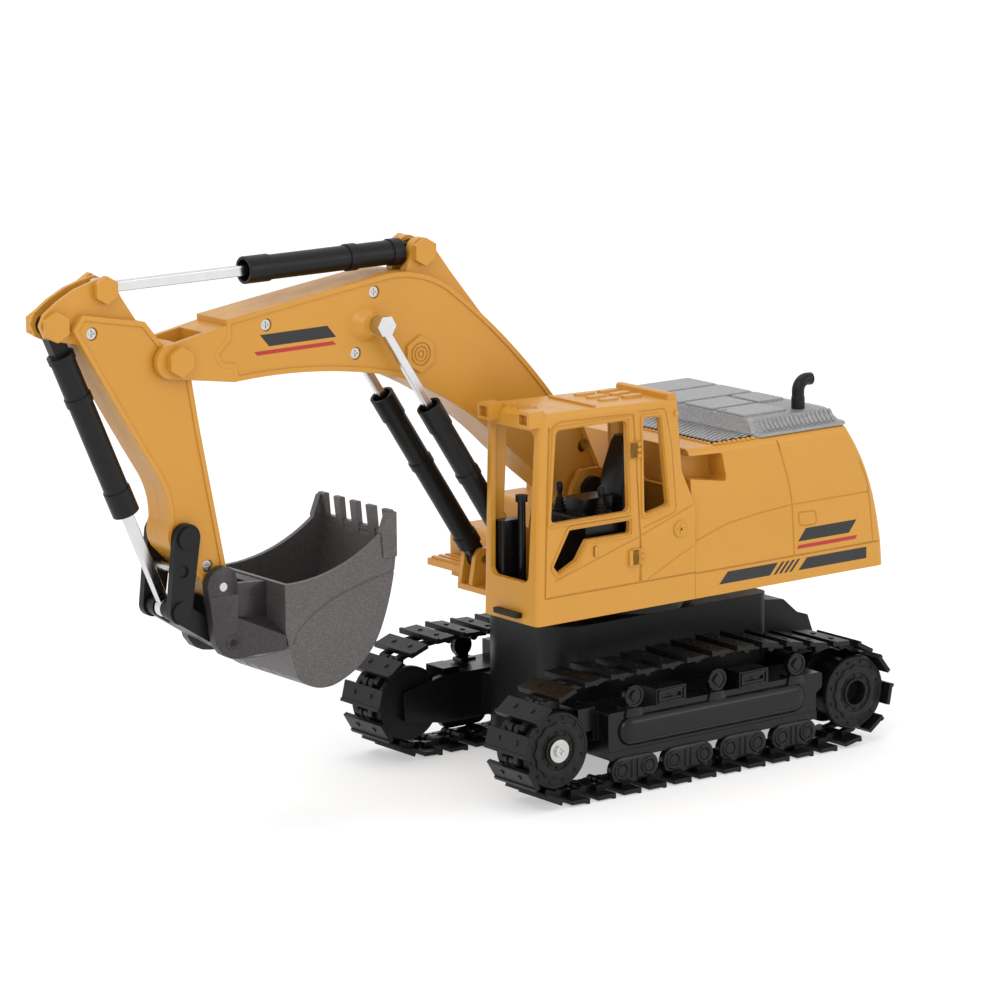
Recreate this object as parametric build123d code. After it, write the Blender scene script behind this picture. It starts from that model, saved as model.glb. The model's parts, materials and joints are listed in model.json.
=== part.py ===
from build123d import *
from math import atan2, cos, degrees, hypot, radians, sin
import os

os.makedirs("parts", exist_ok=True)

# A 1:24 class remote-control crawler excavator, in millimetres.
# +X is forward (the boom's side), +Y the machine's left (the cab's side), +Z up.
# The origin is on the ground, on the axis that the upper structure swings about.

# Driving dimensions ---------------------------------------------------------
GAP = 0.05  # running clearance of a pin in its bore, on the radius

# Tracks and wheels
TRACK_MID = 45.25  # from the centre plane to the middle of a track
PLATE_W = 24.5
PLATE_L = 8.3
PLATE_T = 1.6
LINKS = 32
KNUCKLE_R = 1.6
LIP_H = 0.5
FRONT_WHEEL = (73.6, 21.7)
REAR_WHEEL = (-71.5, 20.7)
FLANGE_R = 14.4
DRUM_R = 11.5
AXLE_R = 3.0
WHEEL_OUT = 54.5
WHEEL_IN = 36.3
FLANGE_T = 3.0
BAR_FACE = 53.0  # outer face of the track frame's panel
BAR_OUT = 55.6  # crown of the long rounded bar on it
CREST = {"left": 43.5, "right": 42.4}  # height of the chain's pins at the top of each track

# Undercarriage
CHASSIS_HALF = 26.0
CHASSIS_LOW = 9.0
CHASSIS_TOP = 58.0
RING_R = 30.0
RING_LOW = 62.3
RING_TOP = 68.0

# Upper structure
HOUSE_LOW = 68.2
HOUSE_TOP = 124.0
HOUSE_REAR = -88.9
HOUSE_FRONT = 6.0
HOUSE_HALF = 52.0
HOUSE_TOP_HALF = 48.0
WALL = 1.8
WAIST = 78.0  # height where the upper structure's sides begin to lean in
CAB_RIGHT = 19.5
CAB_LEFT = 52.0
CAB_FRONT = 80.7
CAB_REAR = 6.1
CAB_TOP = 146.2
CAB_WALL = 2.2
ROOF_SLOTS = [(x, y) for x in (22.0, 33.0) for y in (24.0, 31.0, 38.0)]
ROOF_SLOT_FLOOR = 144.4
FLOOR_TOP = 70.4
CONSOLE_TOP = 104.0
LEVERS = [(50.0, 26.5), (44.0, 43.5)]  # where the control levers stand, in x and y
LEVER_TOP = 113.2
EXHAUST_Y = 36.0

# Boom, arm and bucket: pivots in x and z
BOOM_PIVOT = (24.0, 106.0)
BOOM_HALF = 9.5
BOOM_ROD_PIN = (121.3, 178.7)
BOOM_BARREL_PIN = (57.0, 80.0)
BOOM_CYL_Y = 14.5
BARREL_R = 4.2
COLLAR_R = 4.65
ARM_PIVOT = (204.6, 174.1)
ARM_HALF = 7.0
ELBOW_PIN = (96.4, 202.2)
ARM_ROD_PIN = (231.3, 201.5)
BUCKET_BARREL_PIN = (251.7, 190.7)
BUCKET_PIVOT = (189.0, 91.7)
ROCKER_PIVOT = (203.0, 111.0)
ROCKER_LOW = (206.5, 85.0)
LINK_PIN = (185.5, 70.9)
ROCKER_BAR = (205.4, 99.3)
LINK_PLAY = 1.1  # play of the bucket link's lower eye round its pin
BUCKET_HALF = 22.0
EAR_IN = 7.4
EAR_OUT = 11.0
PIN_R = 1.6
RIM = 1.8
RIM_STEP = 0.5
SKIN = 2.2
SCREW_HOLE_R = 2.3
BOOM_SCREWS = [(167.2, 183.0), (120.1, 190.0), (128.6, 168.6)]
ARM_SCREWS = [(238.0, 187.0), (192.6, 99.0)]


# Shape helpers ---------------------------------------------------------------
def along_y(face, low, high):
    """A face drawn in x and z, made solid between two distances from the centre plane."""
    return Pos(0, high, 0) * extrude(face, high - low, dir=(0, -1, 0))


def outline(points, radius=0.0):
    """A closed outline in x and z with straight sides and, if asked, rounded corners."""
    face = Plane.XZ * Polygon(*points, align=None)
    return fillet(face.vertices(), radius) if radius else face


def curved_outline(*edges):
    """A closed outline in x and z from lines, arcs and curves drawn in a plane."""
    face = make_face(list(edges))
    return Plane.XZ * (face if face.faces()[0].normal_at().Z > 0 else -face)


def arc_run(*points):
    """Arcs laid end to end: each takes its start, a point on its way and its end."""
    return [ThreePointArc(*points[i:i + 3]) for i in range(0, len(points) - 2, 2)]


def disc(centre, radius, low, high):
    """A round bar across the machine."""
    x, z = centre
    return Pos(x, (low + high) / 2, z) * Rot(X=90) * Cylinder(radius, high - low)


def hexagon(centre, across, low, high, turn=0.0):
    """A six-sided bar across the machine, given across its flats."""
    x, z = centre
    face = Pos(x, 0, z) * (Plane.XZ * (Rot(Z=turn) * RegularPolygon(across / 2, 6, major_radius=False)))
    return along_y(face, low, high)


def block(x0, x1, y0, y1, z0, z1):
    """A box from its limits."""
    return Pos((x0 + x1) / 2, (y0 + y1) / 2, (z0 + z1) / 2) * Box(x1 - x0, y1 - y0, z1 - z0)


def upright(x, y, radius, z0, z1):
    """A round bar that stands upright."""
    return Pos(x, y, (z0 + z1) / 2) * Cylinder(radius, z1 - z0)


def other_side(shape):
    """The mirror image on the other side of the machine."""
    return mirror(shape, about=Plane.XZ)


def bar_between(start, end, radius_start, radius_end, low, high):
    """A link with round ends, between two pivots."""
    length = hypot(end[0] - start[0], end[1] - start[1])
    turn = degrees(atan2(end[1] - start[1], end[0] - start[0]))
    face = make_hull((Circle(radius_start) + Pos(length, 0) * Circle(radius_end)).edges())
    face = Pos(start[0], 0, start[1]) * (Plane.XZ * (Rot(Z=turn) * face))
    return along_y(face, low, high)


def axis_location(start, end, y):
    """A place whose Z axis runs from start towards end, in the plane at y."""
    lean = degrees(atan2(end[0] - start[0], end[1] - start[1]))
    return Pos(start[0], y, start[1]) * Rot(Y=lean)


def screw(centre, head_y, length, side=1, head_r=2.0, shank_r=0.9):
    """A cross-recess screw across the machine; its head ends at head_y and faces the side given."""
    head = disc(centre, head_r, head_y - 1.2, head_y)
    shank = disc(centre, shank_r, head_y - length, head_y - 1.0)
    x, z = centre
    slot = block(x - 1.3, x + 1.3, head_y - 0.5, head_y + 1, z - 0.25, z + 0.25)
    cross = slot + Pos(x, 0, z) * Rot(Y=90) * Pos(-x, 0, -z) * slot
    part = head + shank - cross
    return part if side > 0 else other_side(part)


def group(solids):
    """Separate solids that share one node."""
    return Compound(children=list(solids))


def save(shape, name):
    export_step(shape, f"parts/{name}.step")


# Tracks ----------------------------------------------------------------------
def chain_line(crest):
    """The closed line through a track's pins, in x and z."""
    reach = 14.6
    front = FRONT_WHEEL[0] + reach
    rear = REAR_WHEEL[0] - reach
    low = LIP_H + PLATE_T + KNUCKLE_R
    front_foot = 66.0
    rear_foot = -62.0
    ground = Line((rear_foot, low), (front_foot, low))
    rise = FRONT_WHEEL[1] - low
    fall = REAR_WHEEL[1] - low
    nose_centre = (front_foot, FRONT_WHEEL[1])
    tail_centre = (rear_foot, REAR_WHEEL[1])
    nose = EllipticalCenterArc(nose_centre, front - front_foot, rise, start_angle=-90, arc_size=90)
    tail = EllipticalCenterArc(tail_centre, rear_foot - rear, fall, start_angle=180, arc_size=90)
    nose_top = CenterArc(FRONT_WHEEL, reach, 0, 50)
    tail_top = CenterArc(REAR_WHEEL, reach, 120, 60)
    top = Spline(
        nose_top @ 1,
        (70.0, 40.6),
        (37.0, crest),
        (-38.0, crest - 0.6),
        (-63.0, 39.3),
        tail_top @ 0,
        tangents=(nose_top % 1, tail_top % 0),
    )
    return Wire([ground, nose, nose_top, top, tail_top, tail])


def chain_link(pitch):
    """One track link at the origin: its pins lie on x, and its plate faces down."""
    under = -KNUCKLE_R - PLATE_T
    half = PLATE_L / 2
    plate = block(-half, half, -PLATE_W / 2, PLATE_W / 2, under, -KNUCKLE_R)
    lip = block(-half, -half + 1.3, -PLATE_W / 2, PLATE_W / 2, under - LIP_H, under)
    link = plate + lip
    reach = pitch / 2
    for side in (-1, 1):
        for inner, end in ((0.6, 1), (3.3, -1)):
            low, high = sorted((side * inner, side * (inner + 2.5)))
            eye = disc((end * reach, 0), KNUCKLE_R, low, high)
            neck = block(min(0, end * reach), max(0, end * reach), low, high, -KNUCKLE_R, 0.4)
            link += eye + neck
        link += upright(0.8, side * 5.2, 1.0, under - 0.4, under)
    return link


def track(side):
    """A whole track: one solid for each link."""
    line = chain_line(CREST[side])
    total = line.length
    pins = [line.position_at(i * total / LINKS, position_mode=PositionMode.LENGTH) for i in range(LINKS)]
    y = TRACK_MID if side == "left" else -TRACK_MID
    gaps = [hypot(b.X - a.X, b.Y - a.Y) for a, b in zip(pins, pins[1:] + pins[:1])]
    link = chain_link(min(gaps))
    links = []
    for a, b in zip(pins, pins[1:] + pins[:1]):
        turn = degrees(atan2(b.Y - a.Y, b.X - a.X))
        links.append(Pos((a.X + b.X) / 2, y, (a.Y + b.Y) / 2) * Rot(Y=-turn) * link)
    return group(links)


def wheel(centre, hollow_hub):
    """A flanged track wheel on the left side."""
    body = disc(centre, DRUM_R, WHEEL_IN, WHEEL_OUT - FLANGE_T)
    body += disc(centre, FLANGE_R, WHEEL_OUT - FLANGE_T, WHEEL_OUT)
    body += disc(centre, FLANGE_R, WHEEL_IN, WHEEL_IN + FLANGE_T)
    body += disc(centre, 9.6, WHEEL_OUT, WHEEL_OUT + 0.5)
    body += disc(centre, 6.6, WHEEL_OUT, WHEEL_OUT + 0.9)
    for i in range(8):
        turn = radians(22.5 + 45 * i)
        peg = (centre[0] + 12.3 * cos(turn), centre[1] + 12.3 * sin(turn))
        body += disc(peg, 1.1, WHEEL_OUT, WHEEL_OUT + 0.8)
    body -= disc(centre, AXLE_R + GAP, WHEEL_IN - 1, 50.1)
    bore = 4.7 if hollow_hub else 2.2
    return body - disc(centre, bore, 50.1, WHEEL_OUT + 2)


def track_frame():
    """The left track frame: inner plate with axles, outer panel, roller covers and top carriers."""
    inner = outline([(-76, 15), (-60, 12.5), (60, 12.5), (78, 16), (78, 27), (60, 31), (-60, 31), (-76, 26)])
    body = along_y(inner, 33.4, 36.0)
    panel = outline([(-53, 13), (48.5, 13), (48.5, 31), (-56, 31), (-56, 25), (-53, 23)], 1.2)
    body += along_y(panel, 36.0, 53.0)
    capsule_low, capsule_high, capsule_z = -41.2, 38.1, 23.1
    bulge = bar_between((capsule_low, capsule_z), (capsule_high, capsule_z), 5.3, 5.3, BAR_FACE, BAR_OUT)
    body += chamfer(bulge.edges().filter_by_position(Axis.Y, BAR_OUT - 0.1, BAR_OUT + 0.1), 2.2)
    body += block(-53, 48.5, 53.0, 53.4, 13.0, 16.2)
    for front, rear in ((43.4, 30.6), (18.6, 4.0), (-8.7, -22.1), (-34.6, -47.1)):
        body += bar_between((rear, 9.0), (front, 9.0), 4.7, 4.7, 51.4, 54.0)
        body += block(rear, front, 51.4, 53.0, 9.0, 14.0)
        for x in (front, rear):
            body += disc((x, 9.0), 2.0, 54.0, 54.8)
    for x in (36.8, -3.2, -42.3):
        body += disc((x, 36.2), 4.2, 51.4, 53.6)
        body += disc((x, 36.2), 1.8, 53.6, 54.4)
        body += block(x - 2.5, x + 2.5, 51.4, 53.0, 30.5, 36.2)
    for x in (11.8, -28.5):
        bracket = block(x, x + 14.2, 44.0, 53.4, 30.5, 37.0)
        body += bracket - block(x + 2.4, x + 11.8, 52.4, 54.0, 33.0, 34.6)
    body += block(50.0, 58.0, 36.0, 47.0, 24.0, 33.0) + block(48.0, 51.0, 36.0, 47.0, 20.0, 31.0)
    for centre in (FRONT_WHEEL, REAR_WHEEL):
        body += disc(centre, AXLE_R, 35.0, 50.0)
    return body


def wheel_screw():
    """The washer-head screw that keeps the left front wheel on its axle."""
    part = screw(FRONT_WHEEL, WHEEL_OUT + 2.3, 6.8, head_r=2.3, shank_r=1.5)
    return part + disc(FRONT_WHEEL, 4.3, WHEEL_OUT + 1.0, WHEEL_OUT + 1.4)


# Undercarriage ---------------------------------------------------------------
def chassis():
    """The hollow box between the tracks, with its two side beams and stepped tail."""
    plan = fillet(Rectangle(103, 2 * CHASSIS_HALF).vertices().sort_by(Axis.X)[-2:], 14)
    plan = fillet(plan.vertices().sort_by(Axis.X)[:2], 5)
    body = Pos(-1.5, 0, CHASSIS_LOW) * extrude(plan, CHASSIS_TOP - CHASSIS_LOW)
    steps = outline(
        [(-50, 54.6), (-62.4, 53.2), (-69.6, 47), (-74.8, 45.4), (-78, 37), (-78, 34), (-50, 34)], 1.0
    )
    body += along_y(steps, -23.0, 23.0)
    for side in (-1, 1):
        low, high = sorted((side * (CHASSIS_HALF - 1), side * 33.4))
        body += block(-46, 42, low, high, 14, 30)
    body -= block(-44, 36, -22, 22, 12, 55)
    body -= block(-36, 16, -15, 15, CHASSIS_LOW - 1, 13)
    body -= upright(0, 0, 8.0, 54, CHASSIS_TOP + 1)
    body -= block(22.9, 29.1, -4.1, 4.1, CHASSIS_LOW - 1, 13)
    for x in (-40, 40):
        for y in (-19, 19):
            body -= upright(x, y, 2.4, CHASSIS_LOW - 1, CHASSIS_LOW + 1.6)
    return body


def chassis_screws():
    """Four screws that close the chassis from below."""
    screws = []
    for x in (-40, 40):
        for y in (-19, 19):
            head = upright(x, y, 2.2, CHASSIS_LOW, CHASSIS_LOW + 1.6)
            head -= block(x - 1.4, x + 1.4, y - 0.3, y + 0.3, CHASSIS_LOW - 1, CHASSIS_LOW + 0.6)
            screws.append(head - block(x - 0.3, x + 0.3, y - 1.4, y + 1.4, CHASSIS_LOW - 1, CHASSIS_LOW + 0.6))
    return group(screws)


def battery_cover():
    """The lid of the battery bay, on the underside."""
    lid = block(-35.9, 15.9, -14.9, 14.9, CHASSIS_LOW, 11.5)
    for i in range(5):
        lid -= block(-30 + 3 * i, -28.5 + 3 * i, -8, 8, CHASSIS_LOW - 1, CHASSIS_LOW + 0.5)
    return lid


def battery_pack():
    """Four round cells, side by side, in a sleeve."""
    pack = block(-34, 14, -13.6, 13.6, 13.0, 20.0)
    for i in range(2):
        y = -6.8 + 13.6 * i
        for z in (20.0, 26.0):
            pack += Pos(-10, y, z) * Rot(Y=90) * Cylinder(6.7, 48)
    return pack


def drive_gearbox():
    """The left drive motor's gearbox, behind the chassis."""
    box = block(-82, -56, 6, 33.3, 13, 33.5)
    return fillet(box.edges().filter_by(Axis.Y), 3.0)


def switch_slider():
    """The power switch's sliding knob, on the underside."""
    return block(23.2, 26.2, -1.9, 1.9, CHASSIS_LOW + 0.2, 11.8)


def turntable_base():
    """The fixed race of the swing bearing, with its centre spigot."""
    return upright(0, 0, 27, CHASSIS_TOP, 62) + upright(0, 0, 8 - GAP, 62, RING_TOP - 0.3)


def turntable_ring():
    """The turning race, under the upper structure."""
    ring = upright(0, 0, RING_R, RING_LOW, RING_TOP)
    return ring - upright(0, 0, 8, RING_LOW - 1, RING_TOP + 1)


# Upper structure ---------------------------------------------------------------
def house_section(inset):
    """The upper structure's cross-section in y and z, drawn a wall's depth inside its skin."""
    half_low = HOUSE_HALF - inset
    half_top = HOUSE_TOP_HALF - inset
    top = HOUSE_TOP - inset
    low = HOUSE_LOW - 1 if inset else HOUSE_LOW
    right = [(-half_top, top), (-half_low, WAIST), (-half_low, low)]
    left = [(half_low, low), (half_low, WAIST), (half_top, top)]
    face = Polygon(*right, *left, align=None)
    crown = [v for v in face.vertices() if v.Y > 100]
    return Plane.YZ * fillet(crown, 3.0)


def house_side(inset):
    """The upper structure's outline from the side, drawn a wall's depth inside its skin."""
    front = HOUSE_FRONT - inset
    low = HOUSE_LOW - 1 if inset else HOUSE_LOW
    top = HOUSE_TOP - inset
    rear = HOUSE_REAR + inset
    crown = (-72.5 + inset, top)
    back = Spline((rear, low), (rear + 5, 101.5), crown, tangents=((0.09, 1), (0.75, 1)))
    floor = Line((front, low), (rear, low))
    return curved_outline(floor, back, Polyline(crown, (front, top), (front, low)))


def house_solid(inset):
    """The upper structure's outer form, or the space inside it."""
    length = HOUSE_FRONT - HOUSE_REAR
    prism = Pos(HOUSE_REAR + (inset or 0), 0, 0) * extrude(house_section(inset), length - 2 * inset)
    return prism & along_y(house_side(inset), -HOUSE_HALF - 1, HOUSE_HALF + 1)


def house_shell():
    """The yellow cover over the engine, with its grooves and the stepped scoops beside the hood."""
    body = house_solid(0.0)
    rear_corners = body.edges().filter_by_position(Axis.X, HOUSE_REAR - 1, -70).filter_by(
        lambda e: abs(e.center().Y) > 45 and e.length > 20
    )
    body = fillet(rear_corners, 3.5)
    scoop_side = outline([(7, 113.2), (-11.6, 110.2), (-9.8, 121.0), (7, 121.6)], 1.2)
    scoops = along_y(scoop_side, 39.5, 60) + along_y(scoop_side, -60, -39.5)
    body -= scoops
    inner = house_solid(WALL)
    inner -= along_y(offset(scoop_side, 1.6), 37.9, 60) + along_y(offset(scoop_side, 1.6), -60, -37.9)
    body -= inner
    for side in (-1, 1):
        low, high = sorted((side * 51.6, side * 53))
        body -= block(HOUSE_REAR - 1, 7, low, high, 77.6, 78.2)
    return body - block(HOUSE_FRONT - 3, HOUSE_FRONT + 1, -49.95, 49.95, 60, FLOOR_TOP + 0.05)


def cab_shell():
    """The cab: a hollow box of pillars and panels with open windows."""
    roof = [(78.6, 144.2), (76.0, CAB_TOP), (14.0, 144.6)]
    rear = [(11.6, 117.5), (CAB_REAR, 105.7)]
    outer = outline([(CAB_REAR, HOUSE_LOW), (CAB_FRONT, HOUSE_LOW)] + roof + rear)
    body = along_y(outer, CAB_RIGHT, CAB_LEFT)
    upper_left = body.edges().filter_by(lambda e: abs(e.center().Y - CAB_LEFT) < 0.1 and e.center().Z > 106)
    body = fillet(upper_left, 2.0)
    body = fillet(body.edges().filter_by(lambda e: e.center().X > 76 and e.length > 60), 2.5)
    low = HOUSE_LOW - 1
    ceiling = [(76.3, 143.2), (16.0, 142.2)]
    back_wall = [(13.8, 117), (CAB_REAR + CAB_WALL, 105)]
    room = outline([(CAB_REAR + CAB_WALL, low), (CAB_FRONT - CAB_WALL, low)] + ceiling + back_wall)
    body -= along_y(room, CAB_RIGHT + WALL, CAB_LEFT - CAB_WALL)
    body -= block(CAB_REAR - 1, CAB_REAR + 3, CAB_RIGHT + WALL + 0.05, CAB_LEFT - 2.3, low, FLOOR_TOP + 0.05)
    door_glass = outline([(71.4, 139.6), (38.6, 139.6), (37.7, 105.6), (74.0, 105.6)], 2.0)
    low_glass = outline(
        [(65.4, 102.2), (37.3, 102.2), (37.3, 97.5), (57.4, 97.5), (62.0, 90.6), (70.5, 86.6), (72.9, 89.6)], 0.9
    )
    rear_glass = outline([(31.0, 139.4), (23.0, 139.0), (19.2, 105.6), (30.4, 103.4)], 1.4)
    right_glass = outline([(70, 138), (22, 138), (20, 102), (58, 96), (72, 104)], 3.0)
    for glass in (door_glass, low_glass, rear_glass):
        body -= along_y(glass, CAB_LEFT - 6, CAB_LEFT + 1)
    body -= along_y(right_glass, CAB_RIGHT - 1, CAB_RIGHT + 3)
    front_glass = Polygon((24.0, 83.5), (46.5, 83.5), (48.8, 139.5), (23.0, 139.5), align=None)
    front_glass = fillet(front_glass.vertices(), 3)
    body -= Pos(70, 0, 0) * extrude(Plane.YZ * front_glass, 14)
    back_glass = Polygon((25, 110), (46, 110), (46, 138), (25, 138), align=None)
    back_glass = fillet(back_glass.vertices(), 2)
    body -= Pos(5, 0, 0) * extrude(Plane.YZ * back_glass, 14)
    for groove in (
        [(35.9, 141.4), (35.3, 141.4), (31.9, 94), (32.3, 78.2), (32.9, 78.2), (32.5, 94)],
        [(77.1, 78.0), (6.0, 78.0), (6.0, 78.6), (77.1, 78.6)],
        [(77.1, 78.4), (76.5, 78.4), (74.4, 141.0), (75.0, 141.0)],
    ):
        body -= along_y(outline(groove), CAB_LEFT - 0.4, CAB_LEFT + 1)
    for z in (85.0, 125.2):
        body += block(33.6, 38.0, CAB_LEFT - 0.2, CAB_LEFT + 0.9, z, z + 6.0)
    body += block(52.9, 54.3, CAB_LEFT - 0.2, CAB_LEFT + 0.7, 91.0, 94.6)
    body += disc((13.5, 95.8), 3.0, CAB_LEFT - 0.3, CAB_LEFT + 0.5)
    body += disc((15.4, 139.6), 1.0, CAB_LEFT - 1.0, CAB_LEFT + 0.6)
    for y in (21.0, 44.5):
        lamp = block(76.5, 83.4, y, y + 7.0, 141.4, 147.4)
        body += lamp - block(81.0, 84.0, y + 1.2, y + 5.8, 142.6, 146.2)
    for x, y in ROOF_SLOTS:
        body -= block(x, x + 8.0, y, y + 2.2, ROOF_SLOT_FLOOR, CAB_TOP + 1)
    return body


def roof_inlays():
    """Grey strips that fill the slots of the cab roof."""
    return group(block(x, x + 8.0, y, y + 2.2, ROOF_SLOT_FLOOR, ROOF_SLOT_FLOOR + 1) for x, y in ROOF_SLOTS)


def front_step():
    """The black foot bar under the windscreen."""
    bar = block(CAB_FRONT + 0.02, CAB_FRONT + 2.6, 28.7, 43.6, 70.4, 72.2)
    return fillet(bar.edges().filter_by(Axis.Z), 0.9)


def house_base():
    """The deck of the upper structure, with the boom's cheeks and the cylinder lugs."""
    body = block(HOUSE_REAR + 3.6, HOUSE_FRONT + 0.05, -49.9, 49.9, HOUSE_LOW, FLOOR_TOP)
    body += block(0, 63, -CAB_RIGHT + 0.1, CAB_RIGHT - 0.1, HOUSE_LOW, FLOOR_TOP)
    body += block(6, CAB_FRONT - 2.5, CAB_RIGHT + WALL + 0.1, CAB_LEFT - 2.4, HOUSE_LOW, FLOOR_TOP)
    body += block(33, 43, -50, -CAB_RIGHT, HOUSE_LOW - 3.0, FLOOR_TOP)
    body += block(6, 43, -50, -CAB_RIGHT, HOUSE_LOW, FLOOR_TOP)
    cheek = outline([(8, 70), (40, 70), (33, 107), (29, 114), (19, 114), (14, 107)], 2.5)
    foot = outline([(50, 70), (63.5, 70), (61.5, 81), (59.5, 84.2), (54.5, 84.2), (52.5, 81)], 1.5)
    for side in (-1, 1):
        low, high = sorted((side * (BOOM_HALF + 0.5), side * (BOOM_HALF + 3.0)))
        body += along_y(cheek, low, high)
        for inner, outer in ((10.0, 12.2), (16.8, 19.0)):
            low, high = sorted((side * inner, side * outer))
            body += along_y(foot, low, high)
    body -= disc(BOOM_PIVOT, 3.0, -20, 20)
    return body - disc(BOOM_BARREL_PIN, PIN_R, -20, 20)


def right_deck():
    """The stepped deck and storage boxes on the right, ahead of the engine cover."""
    body = block(6.1, 53, -52, -CAB_RIGHT, FLOOR_TOP + 0.05, 73.0)
    for i in range(3):
        body += block(43.6 + 3.2 * i, 45.4 + 3.2 * i, -51, -24, 73.0, 73.8)
    box = block(6.1, 42.0, -52, -29, 73.0, 84.5)
    box = fillet(box.edges().filter_by(lambda e: e.center().X > 41 and e.center().Z > 84), 5.0)
    upper = block(6.1, 23.0, -52, -25, 80.0, 94.5)
    upper = fillet(upper.edges().filter_by(lambda e: e.center().X > 22 and e.center().Z > 94), 2.0)
    body += box + upper
    for x in (10, 14, 18):
        body += upright(x, -38, 1.0, 94.4, 95.0)
    return body


def hood_cover():
    """The grey engine hood: a low tapered lid with ribbed sides and two raised panels."""
    low = Plane.XY.offset(HOUSE_TOP + 0.05) * Pos(-51, 0) * Rectangle(46, 92)
    top = Plane.XY.offset(130.6) * Pos(-48, 0) * Rectangle(40, 84)
    body = loft([low, top])
    body = fillet(body.edges().filter_by_position(Axis.Z, 130.5, 130.7), 1.2)
    for i in range(13):
        x = -36.0 - 2.5 * i
        for side in (-1, 1):
            rib = Pos(x, side * 44.6, 127.6) * Rot(X=side * 31) * Box(1.1, 1.6, 6.4)
            body += rib
    body += block(-66, -30, 4, 32, 130.0, 131.4)
    body += block(-66, -30, -36, -6, 130.0, 131.4)
    low = Plane.XY.offset(HOUSE_TOP) * Pos(-51, 0) * Rectangle(41, 86)
    top = Plane.XY.offset(128.6) * Pos(-48.5, 0) * Rectangle(36, 78)
    return body - loft([low, top])


def mesh_grille():
    """The level perforated panel ahead of the hood."""
    return block(-27.9, -8.4, -44.6, 44.6, HOUSE_TOP + 0.05, 125.4)


def exhaust_pipe():
    """The black exhaust, bent rearward at its top."""
    foot = (-58.0, 130.65)
    path = FilletPolyline(foot, (-58.0, 140.8), (-64.8, 141.4), radius=4.5)
    route = Pos(0, EXHAUST_Y, 0) * (Plane.XZ * path)
    start = Plane((foot[0], EXHAUST_Y, foot[1]))
    pipe = sweep(start * Circle(2.5), path=route) - sweep(start * Circle(1.7), path=route)
    return pipe + upright(foot[0], EXHAUST_Y, 2.5, foot[1], 133)


def cab_seat():
    """The driver's seat: a cushion and a leaning back."""
    cushion = block(20, 35.6, 25, 45, 82, 92)
    back = outline([(21.5, 90), (35.4, 90), (29.0, 130.5), (22.8, 130.5)], 2.0)
    body = fillet(cushion.edges(), 1.8) + along_y(back, 26, 44)
    return body + block(22, 32, 30, 40, FLOOR_TOP + 0.05, 84)


def cab_console():
    """The console ahead of the seat: a wide base for the levers and a taller middle."""
    body = block(36, 54, 23, 47, FLOOR_TOP + 0.05, CONSOLE_TOP)
    body = fillet(body.edges().filter_by_position(Axis.Z, CONSOLE_TOP - 0.1, CONSOLE_TOP + 0.1), 1.5)
    return body + block(36.2, 50, 29.7, 40.4, CONSOLE_TOP - 2, 109.6)


def control_levers():
    """The two control levers with their ribbed boots."""
    levers = []
    foot = CONSOLE_TOP + 0.05
    for x, y in LEVERS:
        lever = upright(x, y, 0.9, foot, LEVER_TOP) + Pos(x, y, LEVER_TOP) * Sphere(1.3)
        for i in range(4):
            lever += upright(x, y, 2.5 - 0.35 * i, foot + 1.35 * i, foot + 1.0 + 1.35 * i)
        levers.append(lever)
    return group(levers)


def cab_column():
    """The black box and capped column in the cab's front corner."""
    box = block(67, 77, 22.0, 27.0, FLOOR_TOP + 0.05, 103)
    box = fillet(box.edges().filter_by(Axis.Z), 1.0)
    tie = block(68.5, 71.5, 26, 30, FLOOR_TOP + 0.05, 73)
    column = upright(70, 29.5, 1.5, FLOOR_TOP + 0.05, 111)
    return box + tie + column + upright(70, 29.5, 2.3, 110, 112.4)


def boom_gearbox():
    """The gearbox that raises the boom, inside the engine cover."""
    return block(-24, 2, -16, 16, FLOOR_TOP + 0.05, 98)


def circuit_board():
    """The receiver board inside the engine cover."""
    board = block(-70, -34, -20, 20, 74, 75.6) + block(-62, -50, -8, 8, 75.6, 80)
    for x in (-66, -38):
        for y in (-16, 16):
            board += upright(x, y, 2, FLOOR_TOP + 0.05, 74)
    return board


def boom_foot_pin():
    """The pin the boom pivots on, with a black cap at each end."""
    pin = disc(BOOM_PIVOT, 3.0 - GAP, -13.5, 13.5)
    for side in (-1, 1):
        low, high = sorted((side * 12.55, side * 14.6))
        pin += disc(BOOM_PIVOT, 5.2, low, high)
    return pin


def foot_pins():
    """The two pins that hold the boom cylinders' feet."""
    middles = (-BOOM_CYL_Y, BOOM_CYL_Y)
    return group(disc(BOOM_BARREL_PIN, PIN_R, middle - 4.4, middle + 4.4) for middle in middles)


# Boom and arm ------------------------------------------------------------------
def boom_outline():
    """The boom's side outline, from its foot over the elbow to the tip's socket."""
    top = arc_run(
        (184.2, 186.6), (150.0, 191.4), (118.2, 195.6), (101.6, 195.2), (87.0, 189.2), (63.6, 169.4), (38.0, 141.6)
    )
    heel = Polyline((38.0, 141.6), (25.4, 130.4), (15.6, 109.4))
    foot = ThreePointArc((15.6, 109.4), (23.0, 97.1), (32.4, 102.8))
    belly = arc_run(
        (32.4, 102.8), (45.2, 112.9), (57.9, 123.6), (82.6, 143.6), (110.0, 158.1), (143.0, 163.8), (181.7, 164.2)
    )
    return curved_outline(*top, heel, foot, *belly, Line((181.7, 164.2), (184.2, 186.6)))


def tip_outline():
    """The boom tip's side outline; its rear edge interlocks with the boom."""
    upper = Polyline((184.3, 184.6), (207.0, 180.4))
    nose = ThreePointArc((207.0, 180.4), (213.7, 174.3), (208.8, 168.3))
    under = Line((208.8, 168.3), (181.3, 164.2))
    hook = Polyline((181.3, 164.2), (182.0, 169.1), (187.1, 170.0), (190.3, 175.0), (184.3, 180.3), (184.3, 184.6))
    return curved_outline(upper, nose, under, hook)


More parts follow.
